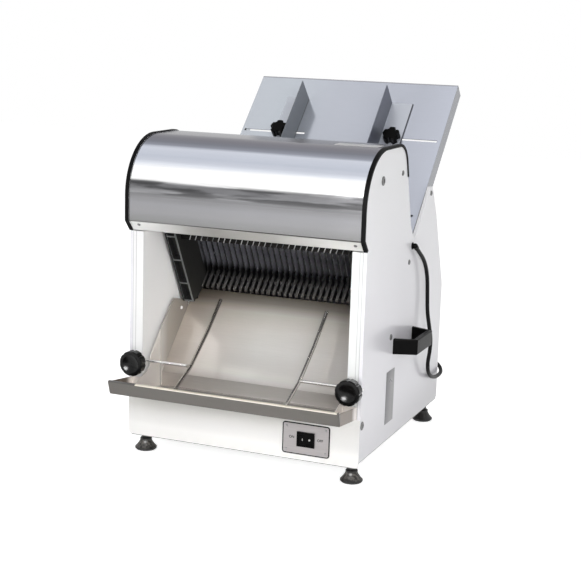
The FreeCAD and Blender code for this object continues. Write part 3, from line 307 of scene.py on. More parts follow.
def hood_shades(finish):
    """Painted reflection: what the rolled sheet mirrors, in bands round its arch, over a pale hem
    at the front.
    """
    angle = hood_angle(finish)
    x, _, _ = finish.place()
    wander = finish.speckle(3.0, 2.0, (2.0, 1.0, 1.0)) - 0.5
    streak = finish.speckle(160.0, 3.0, (0.02, 1.0, 1.0)) - 0.5
    loose = angle.rising(-0.3, 0.0)
    # the hem's painted reflection, lighter at both ends than in the middle
    hem = finish.shades(x, -235.0, 235.0, (
        (-235.0, (232, 232, 230)), (-170.0, (218, 218, 216)), (-110.0, (172, 171, 168)),
        (-60.0, (156, 155, 152)), (60.0, (180, 179, 175)), (170.0, (238, 238, 235))))
    round_arch = finish.shades(angle + (wander * 0.016 + streak * 0.07) * loose, -0.7, 3.2,
                               hood_bands)
    # painted shade: a darker stretch of the dark band towards the right
    dim = angle.rising(0.27, 0.2) * angle.rising(-0.05, 0.1) * x.rising(40.0, 170.0)
    round_arch = finish.grained(round_arch, 0.5 - dim * 0.5, 0.16)
    # painted reflection: darker streaks through the dark band
    band_streaks = finish.speckle(70.0, 4.0, (0.10, 1.0, 1.0)).rising(0.42, 0.58)
    round_arch = finish.grained(round_arch, band_streaks, angle.within(0.08, 0.25, 0.05) * 0.45)
    return finish.mixed(angle.rising(-0.456, -0.458), round_arch, hem)


def hood_metal(finish):
    """Bare steel but for the hem, which is duller."""
    return 1.0 - 0.8 * hood_angle(finish).rising(-0.448, -0.456)


# ------------------------------------------------------------------ discharge chute
def chute_shades(finish):
    """Painted light and shade on one steel sheet: a bright slope that darkens under the blades, a
    duller trough painted darker, walls, ears and lip painted darker, and a painted highlight on
    the lip's hem.
    """
    x, y, z = finish.place()
    # painted light: the slope brightest across its middle
    slope = finish.shades(x, -205.0, 205.0, (
        (-205.0, (214, 204, 194)), (-165.0, (220, 211, 202)), (-120.0, (238, 232, 225)),
        (-20.0, (254, 252, 247)), (60.0, (254, 251, 247)), (150.0, (246, 242, 237)),
        (205.0, (232, 228, 223))))
    # painted shade: darker towards the top, under the blades
    climb = finish.shades(y, 60.0, 208.0, (
        (60.0, (218, 218, 218)), (84.0, (236, 236, 236)), (120.0, (255, 255, 255)),
        (150.0, (252, 251, 249)), (178.0, (228, 225, 220)), (195.0, (150, 145, 139)),
        (208.0, (110, 106, 100))))
    slope = finish.mixed(1.0, slope, climb, "MULTIPLY")
    # painted shade: the trough darker than the slope
    trough = y.rising(84.0, 52.0)
    floor = finish.shades(y, -88.0, 70.0, (
        (-88.0, (154, 148, 143)), (-40.0, (146, 140, 135)), (10.0, (134, 128, 124)),
        (45.0, (124, 119, 115)), (70.0, (150, 145, 141))))
    # painted shade on the ears
    ear = x.math("ABSOLUTE").rising(203.0, 205.0) * y.rising(-10.0, -30.0)
    wall = x.math("ABSOLUTE").rising(199.0, 199.6) * y.rising(-62.0, -58.0)
    # painted shade on the walls, darker further back
    cheek = finish.shades(y, 0.0, 150.0, (
        (0.0, (240, 235, 230)), (57.0, (240, 236, 231)), (90.0, (190, 185, 178)),
        (125.0, (174, 168, 160)), (150.0, (162, 156, 149))))
    # painted shade on the lip's front face
    lip = y.rising(-87.4, -88.0)
    # painted highlight along the hem, dark towards its left end
    hem = z.rising(169.0, 170.0) * y.rising(-84.0, -86.0)
    lit = x.within(-170.0, 224.0, 2.0)
    return finish.patched(
        slope, (trough, floor), (wall, cheek), (ear, tone(120, 110, 101)),
        (lip, tone(100, 97, 93)),
        (hem, finish.mixed(lit, tone(80, 78, 76), tone(238, 231, 216))))


def chute_roughness(finish):
    """The slope is polished by the bread; the trough at its foot is duller."""
    _, y, _ = finish.place()
    return y.rising(75.0, 50.0) * 0.24 + 0.09


# ------------------------------------------------------------------ infeed tray and its guides
def down_the_bed(finish):
    """Across the tray, down it from its top edge, and up from its surface."""
    x, y, z = finish.place()
    return x, (bed_top - y - z) * math.sqrt(0.5), (z - y - bed_rise) * math.sqrt(0.5)


def tray_shades(finish):
    """Blue grey sheet, with painted shade inside the body, on its right flange and on its slots'
    walls, and dark at the left slot's end.
    """
    x, along, above = down_the_bed(finish)
    across = finish.shades(x, -223.0, 223.0, (
        (-223.0, (197, 202, 210)), (-150.0, (199, 205, 213)), (-40.0, (192, 196, 206)),
        (60.0, (190, 194, 205)), (150.0, (186, 190, 201)), (223.0, (195, 199, 211))))
    # painted shade inside the body, under the hood
    inside = along.rising(380.0, 430.0)
    hem = along.rising(3.4, 2.2)
    # painted shade on the right flange's outer face
    flange = x.rising(222.3, 222.8)
    # painted shade on the slots' walls
    slot_wall = (above.within(-1.3, -0.2, 0.1) * along.within(150.0, 162.0, 0.5)
                 * x.math("ABSOLUTE").within(76.0, 216.0, 0.5))
    slot_end = x.within(-217.0, -213.0, 0.6) * along.within(153.6, 158.4, 0.6)
    return finish.patched(across, (hem, tone(160, 161, 168)), (flange, tone(136, 138, 144)),
                          (inside, tone(46, 46, 48)), (slot_wall, tone(70, 72, 78)),
                          (slot_end, tone(30, 31, 34)))


def fin_shades(finish):
    """Painted light and shade: upright fins darker than their flanges and lighter towards their
    tops, the left one lighter than the right one, with painted shadow lines at the flanges.
    """
    x, _, above = down_the_bed(finish)
    upright = above.rising(2.2, 2.8)
    fin = finish.mixed(x.rising(-10.0, 10.0), tone(108, 112, 117), tone(92, 95, 106))
    # painted shade: the fins darker low down
    fin = finish.grained(fin, above.rising(0.0, 60.0), 0.14)
    # painted shadow lines along the right guide's flange edge and at the left fin's foot
    foot = finish.patched(tone(195, 199, 208), (x.rising(137.4, 138.2), tone(64, 66, 74)),
                          (x.within(-97.5, 0.0, 0.5), tone(22, 23, 27)))
    return finish.mixed(upright, foot, fin)


# ------------------------------------------------------------------ blades, comb and rails
scallop_pitch = 9.0


def across_the_blades(finish):
    """Across the sash, along the blades from the bed, and forward of them."""
    x, y, z = finish.place()
    back = y - blades_foot[0]
    rise = z - blades_foot[1]
    return (x, rise * math.sin(sash_lean) - back * math.cos(sash_lean),
            0.0 - back * math.sin(sash_lean) - rise * math.cos(sash_lean))


def blade_shades(finish):
    """Hardened strip: each blade a little lighter or darker, its scalloped edge painted in dark
    and light stripes as shade and highlight, and painted black shade near the bed where it passes
    the comb.
    """
    _, along, ahead = across_the_blades(finish)
    each = finish.speckle(46.0, 1.0, (1.0, 0.0, 0.0))
    mottle = finish.speckle(60.0, 3.0)
    edge = ahead.math("ABSOLUTE").rising(5.8, 6.4)
    # painted shade and highlight: dark and light stripes along the scalloped edge
    scallops = (along * (math.tau / scallop_pitch)).math("SINE").rising(-0.6, 0.6)
    body = finish.grained(tone(126, 126, 134), each, 0.6)
    edged = finish.mixed(scallops, tone(30, 30, 33), tone(104, 104, 110))
    body = finish.grained(finish.mixed(edge * 0.85, body, edged), mottle, 0.3)
    # painted shade: black near the bed
    return finish.mixed(along.rising(30.0, 10.0), body, tone(8, 8, 8))


def comb_shades(finish):
    """Painted light on the bars' tops, growing towards their free ends, and painted shade on
    their sides between them.
    """
    _, along, above = down_the_bed(finish)
    mottle = finish.speckle(30.0, 2.0)
    # painted light and shade: dark near the blades, lighter towards the free ends
    top = finish.shades(along, 505.0, 567.5, (
        (505.0, (10, 10, 10)), (528.0, (14, 14, 14)), (537.0, (58, 57, 56)),
        (552.0, (74, 73, 72)), (567.5, (90, 88, 85))))
    bars = finish.mixed(above.rising(-1.4, -0.4), tone(8, 8, 8), top)
    end = along.rising(567.2, 567.4)
    return finish.grained(finish.mixed(end, bars, tone(60, 58, 56)), mottle, 0.2)


def rail_shades(finish):
    """Black, with painted light on the left rail's cheek and front face."""
    x, _, ahead = across_the_blades(finish)
    face = ahead.rising(78.6, 79.4) * x.within(-195.0, -170.0, 0.5)
    cheek = x.within(-176.0, 0.0, 0.5)
    return finish.patched(tone(30, 30, 30), (cheek, tone(34, 34, 33)), (face, tone(92, 94, 94)))


def wire_shades(finish):
    """Painted highlights: some of the wires are painted bright, as if they catch the light, and
    others hardly.
    """
    catch = finish.speckle(14.0, 2.0, (1.0, 0.0, 0.0)).rising(0.42, 0.60)
    return finish.mixed(catch, tone(92, 92, 94), tone(222, 222, 224))


def sticker_shades(finish):
    """A bare foil label: a bright border round a duller field."""
    x, y, _ = finish.place()
    field = x.within(134.0, 212.0, 1.0) * y.within(97.0, 124.0, 1.0)
    return finish.mixed(field, tone(232, 231, 228), tone(168, 166, 168))


def rod_shades(finish):
    """Painted shade makes the left rod darker than the right one; the arms that carry them are
    bright.
    """
    x, _, _ = finish.place()
    arm = x.math("ABSOLUTE").rising(116.0, 122.0)
    slope = finish.mixed(x.rising(-20.0, 20.0), tone(176, 170, 164), tone(214, 211, 207))
    return finish.mixed(arm, slope, tone(232, 230, 228))


# ------------------------------------------------------------------ body and feet
def side_shades(finish):
    """White coat with painted light and shade: greyer low down, most of all towards the rear,
    lighter high up and further back, with a thin grey line along its lower edge.
    """
    _, y, z = finish.place()
    coat = finish.mixed(z.rising(300.0, 560.0), tone(230, 229, 234), tone(241, 241, 243))
    coat = finish.mixed(y.rising(200.0, 420.0) * z.rising(120.0, 200.0) * 0.8, coat,
                        tone(247, 247, 250))
    # painted shade low down, deepest towards the rear
    low = z.rising(150.0, 60.0) * (y.rising(0.0, 480.0) * 0.7 + 0.3)
    coat = finish.mixed(low * 0.85, coat, tone(194, 193, 197))
    return finish.mixed(z.rising(54.5, 53.8), coat, tone(118, 117, 116))


def front_shades(finish):
    """White coat with a painted shadow under the lip, weaker to the right, and the same line
    below.
    """
    x, _, z = finish.place()
    # painted shadow: greyer upwards towards the lip
    coat = finish.shades(z, 44.0, 124.0, (
        (44.0, (254, 253, 251)), (65.0, (253, 252, 250)), (75.0, (244, 243, 241)),
        (85.0, (238, 237, 235)), (95.0, (230, 229, 226)), (105.0, (218, 217, 213)),
        (124.0, (205, 204, 200))))
    coat = finish.mixed(x.rising(60.0, 200.0) * z.rising(72.0, 95.0) * 0.8, coat,
                        tone(238, 237, 235))
    return finish.mixed(z.rising(44.5, 43.8), coat, tone(118, 117, 116))


def upright_shades(finish):
    """White coat with the two fine seams down the front of each upright, and painted light and
    shade: front faces lighter, the right upright greyer than the left.
    """
    x, y, _ = finish.place()
    out = x.math("ABSOLUTE")
    front = y.rising(2.0, 1.0)
    seams = out.within(221.9, 222.7, 0.4) + out.rising(227.6, 228.2)
    # painted light and shade: the right upright greyer, the front faces lighter
    coat = finish.mixed(x.rising(-100.0, 100.0), tone(237, 237, 237), tone(224, 226, 225))
    coat = finish.mixed(front, tone(248, 247, 246), coat)
    return finish.mixed(seams * front * 0.8, coat, tone(182, 182, 182))


def foot_shades(finish):
    """Rubber bell with a mottled painted highlight round its flank, darker at its neck and its
    rim, and painted shade on the rear feet.
    """
    _, y, z = finish.place()
    mottle = finish.speckle(230.0, 3.0).rising(0.36, 0.64)
    # painted highlight: grey round the flank of the bell
    bell = finish.shades(z, 8.0, 38.0, (
        (8.0, (8, 8, 8)), (12.5, (18, 18, 17)), (15.5, (66, 63, 60)), (25.0, (74, 71, 67)),
        (30.0, (26, 25, 24)), (38.0, (12, 12, 12))))
    bell = finish.grained(bell, mottle, 0.75)
    # painted shade: the rear feet darker
    return finish.mixed(y.rising(200.0, 300.0) * 0.85, bell, tone(10, 10, 12))


# ------------------------------------------------------------------ the finishes themselves
white = powder_coat("white_gloss_coat", plain(240, 240, 239))
upright_white = powder_coat("upright_coat", upright_shades)
side_white = powder_coat("side_plate_coat", side_shades)
front_white = powder_coat("front_panel_coat", front_shades)
hood_steel = brushed_steel("hood_brushed_steel", hood_shades, 0.22, hood_metal, edge=0.6)
chute_steel = brushed_steel("chute_brushed_steel", chute_shades, chute_roughness, 0.42,
                            depth=0.07)
tray_steel = brushed_steel("tray_brushed_steel", tray_shades, 0.14, 0.6)
comb_steel = brushed_steel("comb_steel", comb_shades, 0.4, 0.3)
blade_steel = brushed_steel("blade_steel", blade_shades, 0.3, 0.5, grain=(1.0, 0.05, 0.05))
plate_steel = brushed_steel("switch_plate_steel", plain(158, 154, 154), 0.34, 0.5, depth=0.14)
rod_steel = bright_metal("polished_rod_steel", rod_shades, 0.14, metallic=0.85)
screw_steel = bright_metal("screw_steel", plain(150, 150, 150), 0.3)
screw_bright = bright_metal("bright_screw_steel", plain(226, 226, 228), 0.25, 0.2)
screw_dark = bright_metal("dark_screw_steel", plain(112, 112, 112), 0.3)
wire_steel = bright_metal("hook_wire_steel", wire_shades, 0.25, 0.2)
alloy = bright_metal("sash_alloy", plain(120, 120, 124), 0.4)
rail_black = moulded("rail_black_plastic", rail_shades, 0.45)
bar_black = moulded("crossbar_black_plastic", plain(10, 10, 10), 0.5, shine=0.1)
trim_black = moulded("trim_black_rubber", plain(9, 9, 10), 0.55, shine=0.05)
knob_black = moulded("knob_black_plastic", plain(11, 11, 11), 0.22, shine=0.2)
handle_black = moulded("handle_black_plastic", plain(5, 5, 5), 0.3, shine=0.05)
foot_black = moulded("foot_black_rubber", foot_shades, 0.42, shine=0.4)
cord_black = moulded("cord_black_jacket", plain(12, 12, 13), 0.42, shine=0.12)
guide_grey = painted_metal("loaf_guide_steel", fin_shades, 0.3, 0.3)
motor_grey = painted_metal("motor_grey_paint", plain(70, 72, 76))
cast_grey = painted_metal("cast_grey_iron", plain(95, 96, 98), 0.55, 0.6)
label_grey = painted_metal("bare_label_plate", plain(126, 125, 128), 0.3)
sticker_grey = painted_metal("bare_sticker", sticker_shades, 0.3)
mark_dark = painted_metal("switch_mark_ink", plain(8, 8, 8), 0.5)
mark_white = painted_metal("switch_mark_white", plain(196, 196, 194), 0.4)

finishes = {
    white: ["base_plate", "rear_cover"],
    upright_white: ["inner_panel_left", "inner_panel_right"],
    side_white: ["side_plate_left", "side_plate_right"],
    front_white: ["front_panel"],
    hood_steel: ["hood"],
    chute_steel: ["discharge_chute"],
    tray_steel: ["infeed_tray"],
    comb_steel: ["bed_comb"],
    blade_steel: ["front_blades", "rear_blades", "front_blade_hooks", "rear_blade_hooks"],
    plate_steel: ["switch_plate"],
    rod_steel: ["slice_guide_left", "slice_guide_right", "crankshaft"],
    screw_steel: ["foot_nuts", "switch_plate_screws"],
    screw_dark: ["side_bolts"],
    screw_bright: ["chute_screws"],
    alloy: ["front_sash", "rear_sash"],
    rail_black: ["blade_rail_left", "blade_rail_right"],
    bar_black: ["guide_crossbar", "sash_guide_left", "sash_guide_right"],
    trim_black: ["hood_trim_left", "hood_trim_right", "drive_belt"],
    knob_black: ["star_knob_left", "star_knob_right"],
    handle_black: ["loaf_guide_knob_left", "loaf_guide_knob_right",
                   "side_handle_left", "side_handle_right", "cord_relief", "mains_plug",
                   "switch_rocker", "switch_housing"],
    foot_black: ["foot_front_left", "foot_front_right", "foot_rear_left", "foot_rear_right"],
    cord_black: ["mains_cord", "mains_cord_coil"],
    guide_grey: ["loaf_guide_left", "loaf_guide_right"],
    motor_grey: ["drive_motor"],
    cast_grey: ["crank_bearings", "crank_pulley", "motor_pulley", "front_connecting_rod_left",
                "front_connecting_rod_right", "rear_connecting_rod_left",
                "rear_connecting_rod_right", "clamp_blocks"],
}
for material, names in finishes.items():
    for name in names:
        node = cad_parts[name]
        node.data.materials.clear()
        node.data.materials.append(material)


# ------------------------------------------------------------------ making pieces
def finished(name, mesh, material, body, smooth=None):
    """Turns a bmesh into a named piece that rides on a body."""
    bmesh.ops.remove_doubles(mesh, verts=mesh.verts, dist=1e-6)
    bmesh.ops.recalc_face_normals(mesh, faces=mesh.faces)
    data = bpy.data.meshes.new(name)
    mesh.to_mesh(data)
    mesh.free()
    piece = bpy.data.objects.new(name, data)
    bpy.context.scene.collection.objects.link(piece)
    data.materials.append(material)
    if smooth is not None:
        data.shade_smooth()
        data.set_sharp_from_angle(angle=math.radians(smooth))
    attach(piece, body)
    return piece


def bar(mesh, centre, size, turn=Matrix()):
    """A block of the given size added to a bmesh, in that mesh's own units."""
    matrix = Matrix.Translation(centre) @ turn @ Matrix.Diagonal((*size, 1.0))
    bmesh.ops.create_cube(mesh, size=1.0, matrix=matrix)


def standing_along(axis):
    """The turn that stands a piece along an axis, when it was drawn pointing up."""
    return Vector((0.0, 0.0, 1.0)).rotation_difference(axis).to_matrix().to_4x4()


def screw_head(mesh, centre, axis, radius, height):
    """A low domed head standing on a face along an axis; radius and height in millimetres."""
    rings = ((1.0, 0.0), (1.0, 0.35), (0.86, 0.75), (0.5, 1.0))      # shares of radius, height
    start = bmesh.ops.create_circle(mesh, segments=20, radius=radius * MM)["verts"]
    made = list(start)
    edges = list({edge for vert in start for edge in vert.link_edges})
    for (wide, high), (wider, higher) in zip(rings[1:], rings):
        grown = bmesh.ops.extrude_edge_only(mesh, edges=edges)["geom"]
        fresh = [g for g in grown if isinstance(g, bmesh.types.BMVert)]
        edges = [g for g in grown if isinstance(g, bmesh.types.BMEdge)]
        bmesh.ops.scale(mesh, verts=fresh, vec=(wide / wider, wide / wider, 1.0))
        bmesh.ops.translate(mesh, verts=fresh, vec=(0.0, 0.0, (high - higher) * height * MM))
        made += fresh
    bmesh.ops.contextual_create(mesh, geom=edges)
    rim = list({edge for vert in start for edge in vert.link_edges
                if all(v in start for v in edge.verts)})
    bmesh.ops.contextual_create(mesh, geom=rim)
    bmesh.ops.transform(mesh, verts=made,
                        matrix=Matrix.Translation(centre) @ standing_along(axis))


# ------------------------------------------------------------------ bare plates
label_middle = (235.35, 166.5, 139.0)
label_size = (0.6, 47.0, 102.0)
sticker_middle = (173.0, 110.0)    # across and depth
sticker_size = (84.0, 36.0)
sticker_thickness, sticker_gap = 0.2, 0.1


def rating_plate():
    """The bare label on the right side plate."""
    mesh = bmesh.new()
    bar(mesh, place(*label_middle), [side * MM for side in label_size])
    bmesh.ops.bevel(mesh, geom=list(mesh.edges), offset=0.0002, segments=2, profile=0.5,
                    affect="EDGES", material=-1)
    finished("rating_plate", mesh, label_grey, "body", 40)


def hood_sticker():
    """The bare sticker that follows the hood's arch."""
    mesh = bmesh.new()
    bmesh.ops.create_grid(mesh, x_segments=2, y_segments=14, size=0.5)
    for corner in mesh.verts:
        depth = sticker_middle[1] + corner.co.y * sticker_size[1]
        ahead = min(0.0, depth - arch_centre[0])
        rise = math.sqrt((arch_radius + sticker_gap) ** 2 - ahead ** 2)
        corner.co = place(sticker_middle[0] + corner.co.x * sticker_size[0], depth,
                          arch_centre[1] + rise)
    bmesh.ops.solidify(mesh, geom=list(mesh.faces), thickness=-sticker_thickness * MM)
    finished("hood_sticker", mesh, sticker_grey, "body", 40)


rating_plate()
hood_sticker()


# ------------------------------------------------------------------ small fasteners
chin_axis = Vector((0.0, -20.0, -18.0)).normalized()
tray_axis = Vector((0.0, -1.0, 1.0)).normalized()
hood_screws = {"left": (-211.3, -11.1, 454.3), "right": (216.1, -9.4, 452.4)}
hood_screw_sink = 0.1
tray_rivet_at = (210.0, 338.5, 462.5)


def hood_screw(side):
    """One of the two heads on the slope under the hood's front."""
    mesh = bmesh.new()
    screw_head(mesh, place(*hood_screws[side]) - chin_axis * hood_screw_sink * MM, chin_axis,
               radius=3.2, height=1.6)
    finished("hood_screw_" + side, mesh, screw_dark, "body", 30)


def tray_rivet():
    """The black head on the right of the tray."""
    mesh = bmesh.new()
    screw_head(mesh, place(*tray_rivet_at), tray_axis, radius=2.4, height=1.2)
    finished("tray_rivet", mesh, handle_black, "body", 30)


hood_screw("left")
hood_screw("right")
tray_rivet()

# ------------------------------------------------------------------ blade rails and hook wires
rail_inner, rail_outer = 174.5, 198.5
rail_back, rail_front = 39.0, 80.0
rail_low, rail_high = -18.0, 232.0
rib_first, rib_pitch, rib_half = 29.0, 58.0, 1.6
pocket_low = -14.0
pocket_top_wall = 4.0
pocket_depth = 14.0
pocket_wall = 3.5
wing_size = (9.0, 218.0, 29.4)     # the wing that guides the sashes, in sash measures
wing_along, wing_ahead = 91.0, 24.2
boss_radius, boss_length, boss_gap = 7.0, 8.8, 0.05
boss_spots = (62.0, 205.0)         # along the rail
boss_ahead = 59.5
wire_count, wire_pitch, wire_first = 28, 12.0, -154.0
wire_radius = 0.9
wire_ends = ((-2.6, 129.6, 64.5), (2.6, 140.6, 64.5))


def sash_place(x, along, ahead):
    """A point measured along the blades from the bed, and forward of them."""
    return place(x,
                 blades_foot[0] - along * math.cos(sash_lean) - ahead * math.sin(sash_lean),
                 blades_foot[1] + along * math.sin(sash_lean) - ahead * math.cos(sash_lean))


def sash_frame():
    """The matrix from millimetres across, along and ahead of the blades to the scene."""
    start = sash_place(0.0, 0.0, 0.0)
    columns = [sash_place(*step) - start for step in ((1, 0, 0), (0, 1, 0), (0, 0, 1))]
    turn = Matrix(columns).transposed().to_4x4()
    return Matrix.Translation(start) @ turn


def cut_across(mesh, spot, axis):
    """Cuts every face of a bmesh along a plane."""
    bmesh.ops.bisect_plane(mesh, geom=mesh.verts[:] + mesh.edges[:] + mesh.faces[:],
                           plane_co=spot, plane_no=axis)


def blade_rail(side, sign):
    """Moulded rail beside the blades: open pockets between cross ribs, a wing and two bosses."""
    mesh = bmesh.new()
    middle = sign * (rail_inner + rail_outer) / 2
    bar(mesh, Vector((middle, (rail_low + rail_high) / 2, (rail_back + rail_front) / 2)),
        (rail_outer - rail_inner, rail_high - rail_low, rail_front - rail_back))
    cuts = [pocket_low]
    at = rib_first
    while at + rib_pitch < rail_high:
        cuts += [at - rib_half, at + rib_half]
        at += rib_pitch
    cuts.append(rail_high - pocket_top_wall)
    for along in cuts:
        cut_across(mesh, (0.0, along, 0.0), (0.0, 1.0, 0.0))
    for across in (rail_inner + pocket_wall, rail_outer - pocket_wall):
        cut_across(mesh, (sign * across, 0.0, 0.0), (1.0, 0.0, 0.0))
    bmesh.ops.recalc_face_normals(mesh, faces=mesh.faces)
    pockets = []
    for face in mesh.faces:
        spot = face.calc_center_median()
        ahead = spot.z > rail_front - 0.1 and abs(spot.x - middle) < 3.0
        tall = max(v.co.y for v in face.verts) - min(v.co.y for v in face.verts) > 8.0
        if ahead and tall:
            pockets.append(face)
    bmesh.ops.inset_individual(mesh, faces=pockets, thickness=0.5, depth=-pocket_depth)
    bar(mesh, Vector((sign * (rail_inner + wing_size[0] / 2), wing_along, wing_ahead)), wing_size)
    for along in boss_spots:
        middle = Vector((sign * (rail_outer + boss_gap + boss_length / 2), along, boss_ahead))
        bmesh.ops.create_cone(mesh, segments=32, radius1=boss_radius, radius2=boss_radius,
                              depth=boss_length, cap_ends=True,
                              matrix=Matrix.Translation(middle)
                              @ Matrix.Rotation(math.pi / 2, 4, "Y"))
    bmesh.ops.transform(mesh, verts=mesh.verts, matrix=sash_frame())
    piece = finished("ribbed_rail_" + side, mesh, rail_black, "body", 40)
    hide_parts("blade_rail_" + side)


def crossbar_wires():
    """The row of short slanting wires over the crossbar."""
    mesh = bmesh.new()
    for wire in range(wire_count):
        x = wire_first + wire_pitch * wire
        low, high = [sash_place(x + across, along, ahead) for across, along, ahead in wire_ends]
        length = high - low
        bmesh.ops.create_cone(mesh, segments=8, radius1=wire_radius * MM,
                              radius2=wire_radius * MM, depth=length.length, cap_ends=True,
                              matrix=Matrix.Translation((low + high) / 2)
                              @ standing_along(length.normalized()))
    finished("crossbar_wires", mesh, wire_steel, "body", 40)


blade_rail("left", -1)
blade_rail("right", 1)
crossbar_wires()

# ------------------------------------------------------------------ switch
plate_face = -2.7                  # front face of the switch plate, from the uprights' plane
plate_back = -1.5
plate_size = (89.0, 56.0)
gasket_width = 2.1
gasket_depth = 0.8
gasket_corner = 5.5
switch_at = (132.5, 84.5)
rocker_pin_depth = 4.0             # behind the plate's face
rocker_tilt = math.radians(8.0)
rocker_half = 12.5                 # half the rocker's width
rocker_valley = 4.9                # the middle of its face, ahead of its pin
rocker_slope = 1.8                 # how much further ahead its two ends are
mark_across = 6.6                  # of each mark, from the middle of the rocker
mark_thickness, mark_lift = 0.16, 0.02
line_width, line_height = 1.1, 4.2
disc_radius = 1.8
letter_height = 6.6


def lettering(name, words, x, z):
    """Print on the switch plate, made from a text and laid on its face."""
    text = bpy.data.curves.new(name + "_text", "FONT")
    text.body = words
    text.size = letter_height * MM
    text.extrude = 0.00004
    text.offset = 0.0002
    text.align_x = "CENTER"
    text.align_y = "CENTER"
    stand_in = bpy.data.objects.new(name + "_text", text)
    bpy.context.scene.collection.objects.link(stand_in)
    bpy.context.view_layer.update()
    data = bpy.data.meshes.new_from_object(
        stand_in.evaluated_get(bpy.context.evaluated_depsgraph_get()))
    bpy.data.objects.remove(stand_in)
    mesh = bmesh.new()
    mesh.from_mesh(data)
    bpy.data.meshes.remove(data)
    upright = Matrix.Rotation(math.pi / 2, 4, "X")
    bmesh.ops.transform(mesh, verts=mesh.verts,
                        matrix=Matrix.Translation(place(x, plate_face, z)) @ upright)
    finished(name, mesh, mark_dark, "body")


def switch_gasket():
    """The black seal that shows as a line round the switch plate."""
    mesh = bmesh.new()
    bar(mesh, place(switch_at[0], plate_back - gasket_depth / 2, switch_at[1]),
        ((plate_size[0] + 2 * gasket_width) * MM, gasket_depth * MM,
         (plate_size[1] + 2 * gasket_width) * MM))
    corners = [edge for edge in mesh.edges
               if abs(edge.verts[0].co.y - edge.verts[1].co.y) > 0.5 * gasket_depth * MM]
    bmesh.ops.bevel(mesh, geom=corners, offset=gasket_corner * MM, segments=5, profile=0.5,
                    affect="EDGES", material=-1)
    mesh.normal_update()
    faces = [face for face in mesh.faces if abs(face.normal.y) > 0.9]
    bmesh.ops.inset_individual(mesh, faces=faces, thickness=gasket_width * MM)
    edges = list({edge for face in faces for edge in face.edges})
    bmesh.ops.delete(mesh, geom=faces, context="FACES_ONLY")
    bmesh.ops.bridge_loops(mesh, edges=edges)
    finished("switch_gasket", mesh, handle_black, "body", 40)


def rocker_mark(side, sign):
    """A line for on or a disc for off, laid on its half of the tilted rocker."""
    mesh = bmesh.new()
    lean = Matrix.Rotation(-sign * math.atan2(rocker_slope, rocker_half), 4, "Z")
    if side == "on":
        bar(mesh, Vector(), (line_width * MM, mark_thickness * MM, line_height * MM), lean)
    else:
        bmesh.ops.create_cone(mesh, segments=24, radius1=disc_radius * MM,
                              radius2=disc_radius * MM, depth=mark_thickness * MM,
                              cap_ends=True, matrix=lean @ Matrix.Rotation(math.pi / 2, 4, "X"))
    ahead = rocker_valley + rocker_slope * mark_across / rocker_half + mark_lift
    spot = Vector((sign * mark_across * MM, -ahead * MM, 0.0))
    pin = place(switch_at[0], plate_face + rocker_pin_depth, switch_at[1])
    bmesh.ops.transform(mesh, verts=mesh.verts, matrix=Matrix.Translation(pin)
                        @ Matrix.Rotation(rocker_tilt, 4, "Z") @ Matrix.Translation(spot))
    finished("rocker_mark_" + side, mesh, mark_white, "rocker", 40)


lettering("switch_mark_on", "ON", 104.5, 86.5)
lettering("switch_mark_off", "OFF", 160.5, 86.0)
switch_gasket()
rocker_mark("on", -1)
rocker_mark("off", 1)

# ------------------------------------------------------------------ mains cord
cord_points = (
    (241.5, 277.0, 409.5), (243.0, 295.0, 397.5), (244.0, 316.0, 384.5), (245.0, 336.0, 364.5),
    (245.5, 349.0, 338.0), (245.0, 356.0, 304.0), (246.0, 358.0, 269.0), (249.5, 364.0, 239.0),
    (252.0, 373.0, 211.0), (251.0, 374.0, 185.0), (248.0, 372.0, 161.0), (246.0, 384.0, 138.0),
    (245.0, 410.0, 122.0), (244.0, 441.0, 113.0), (243.5, 471.0, 109.0), (243.0, 499.0, 112.0),
    (231.0, 519.0, 121.0), (206.0, 527.0, 132.0), (178.0, 528.0, 136.0), (153.0, 527.0, 124.0),
    (137.0, 526.0, 101.0), (127.0, 526.0, 77.0), (119.0, 527.0, 51.0), (112.0, 533.0, 29.0),
    (101.0, 546.0, 16.5), (84.0, 561.0, 12.6))
cord_diameter = 0.008
coil_middle = (26.0, 568.0)
coil_mean_radius = 48.0
coil_steps = 14                    # points in each turn
# degrees round the coil, how far out from its mean radius, and height above the floor
coil_stages = ((5.0, 4.2, 4.3), (305.0, 4.2, 4.3), (365.0, -4.2, 4.3), (600.0, -4.2, 4.3),
               (700.0, -4.2, 12.5), (900.0, -4.2, 12.5), (1000.0, 4.2, 12.5), (1170.0, 4.2, 12.5))
plug_lead, plug_grip = (10.0, 620.2, 20.3), (-5.8, 620.2, 20.3)


def coil_route():
    """The turns of the put-away cord: the first ones on the floor, the rest on top of them."""
    spots = []
    first, last = coil_stages[0][0], coil_stages[-1][0]
    count = round((last - first) / 360.0 * coil_steps)
    for step in range(count + 1):
        angle = first + (last - first) * step / count
        for low, high in zip(coil_stages, coil_stages[1:]):
            if low[0] <= angle <= high[0]:
                share = (angle - low[0]) / (high[0] - low[0])
                out = low[1] + (high[1] - low[1]) * share
                level = low[2] + (high[2] - low[2]) * share
        radius = (coil_mean_radius + out) / math.cos(math.pi / coil_steps)
        turn = math.radians(angle)
        spots.append((coil_middle[0] + radius * math.cos(turn),
                      coil_middle[1] + radius * math.sin(turn), level + floor_level / MM))
    return spots


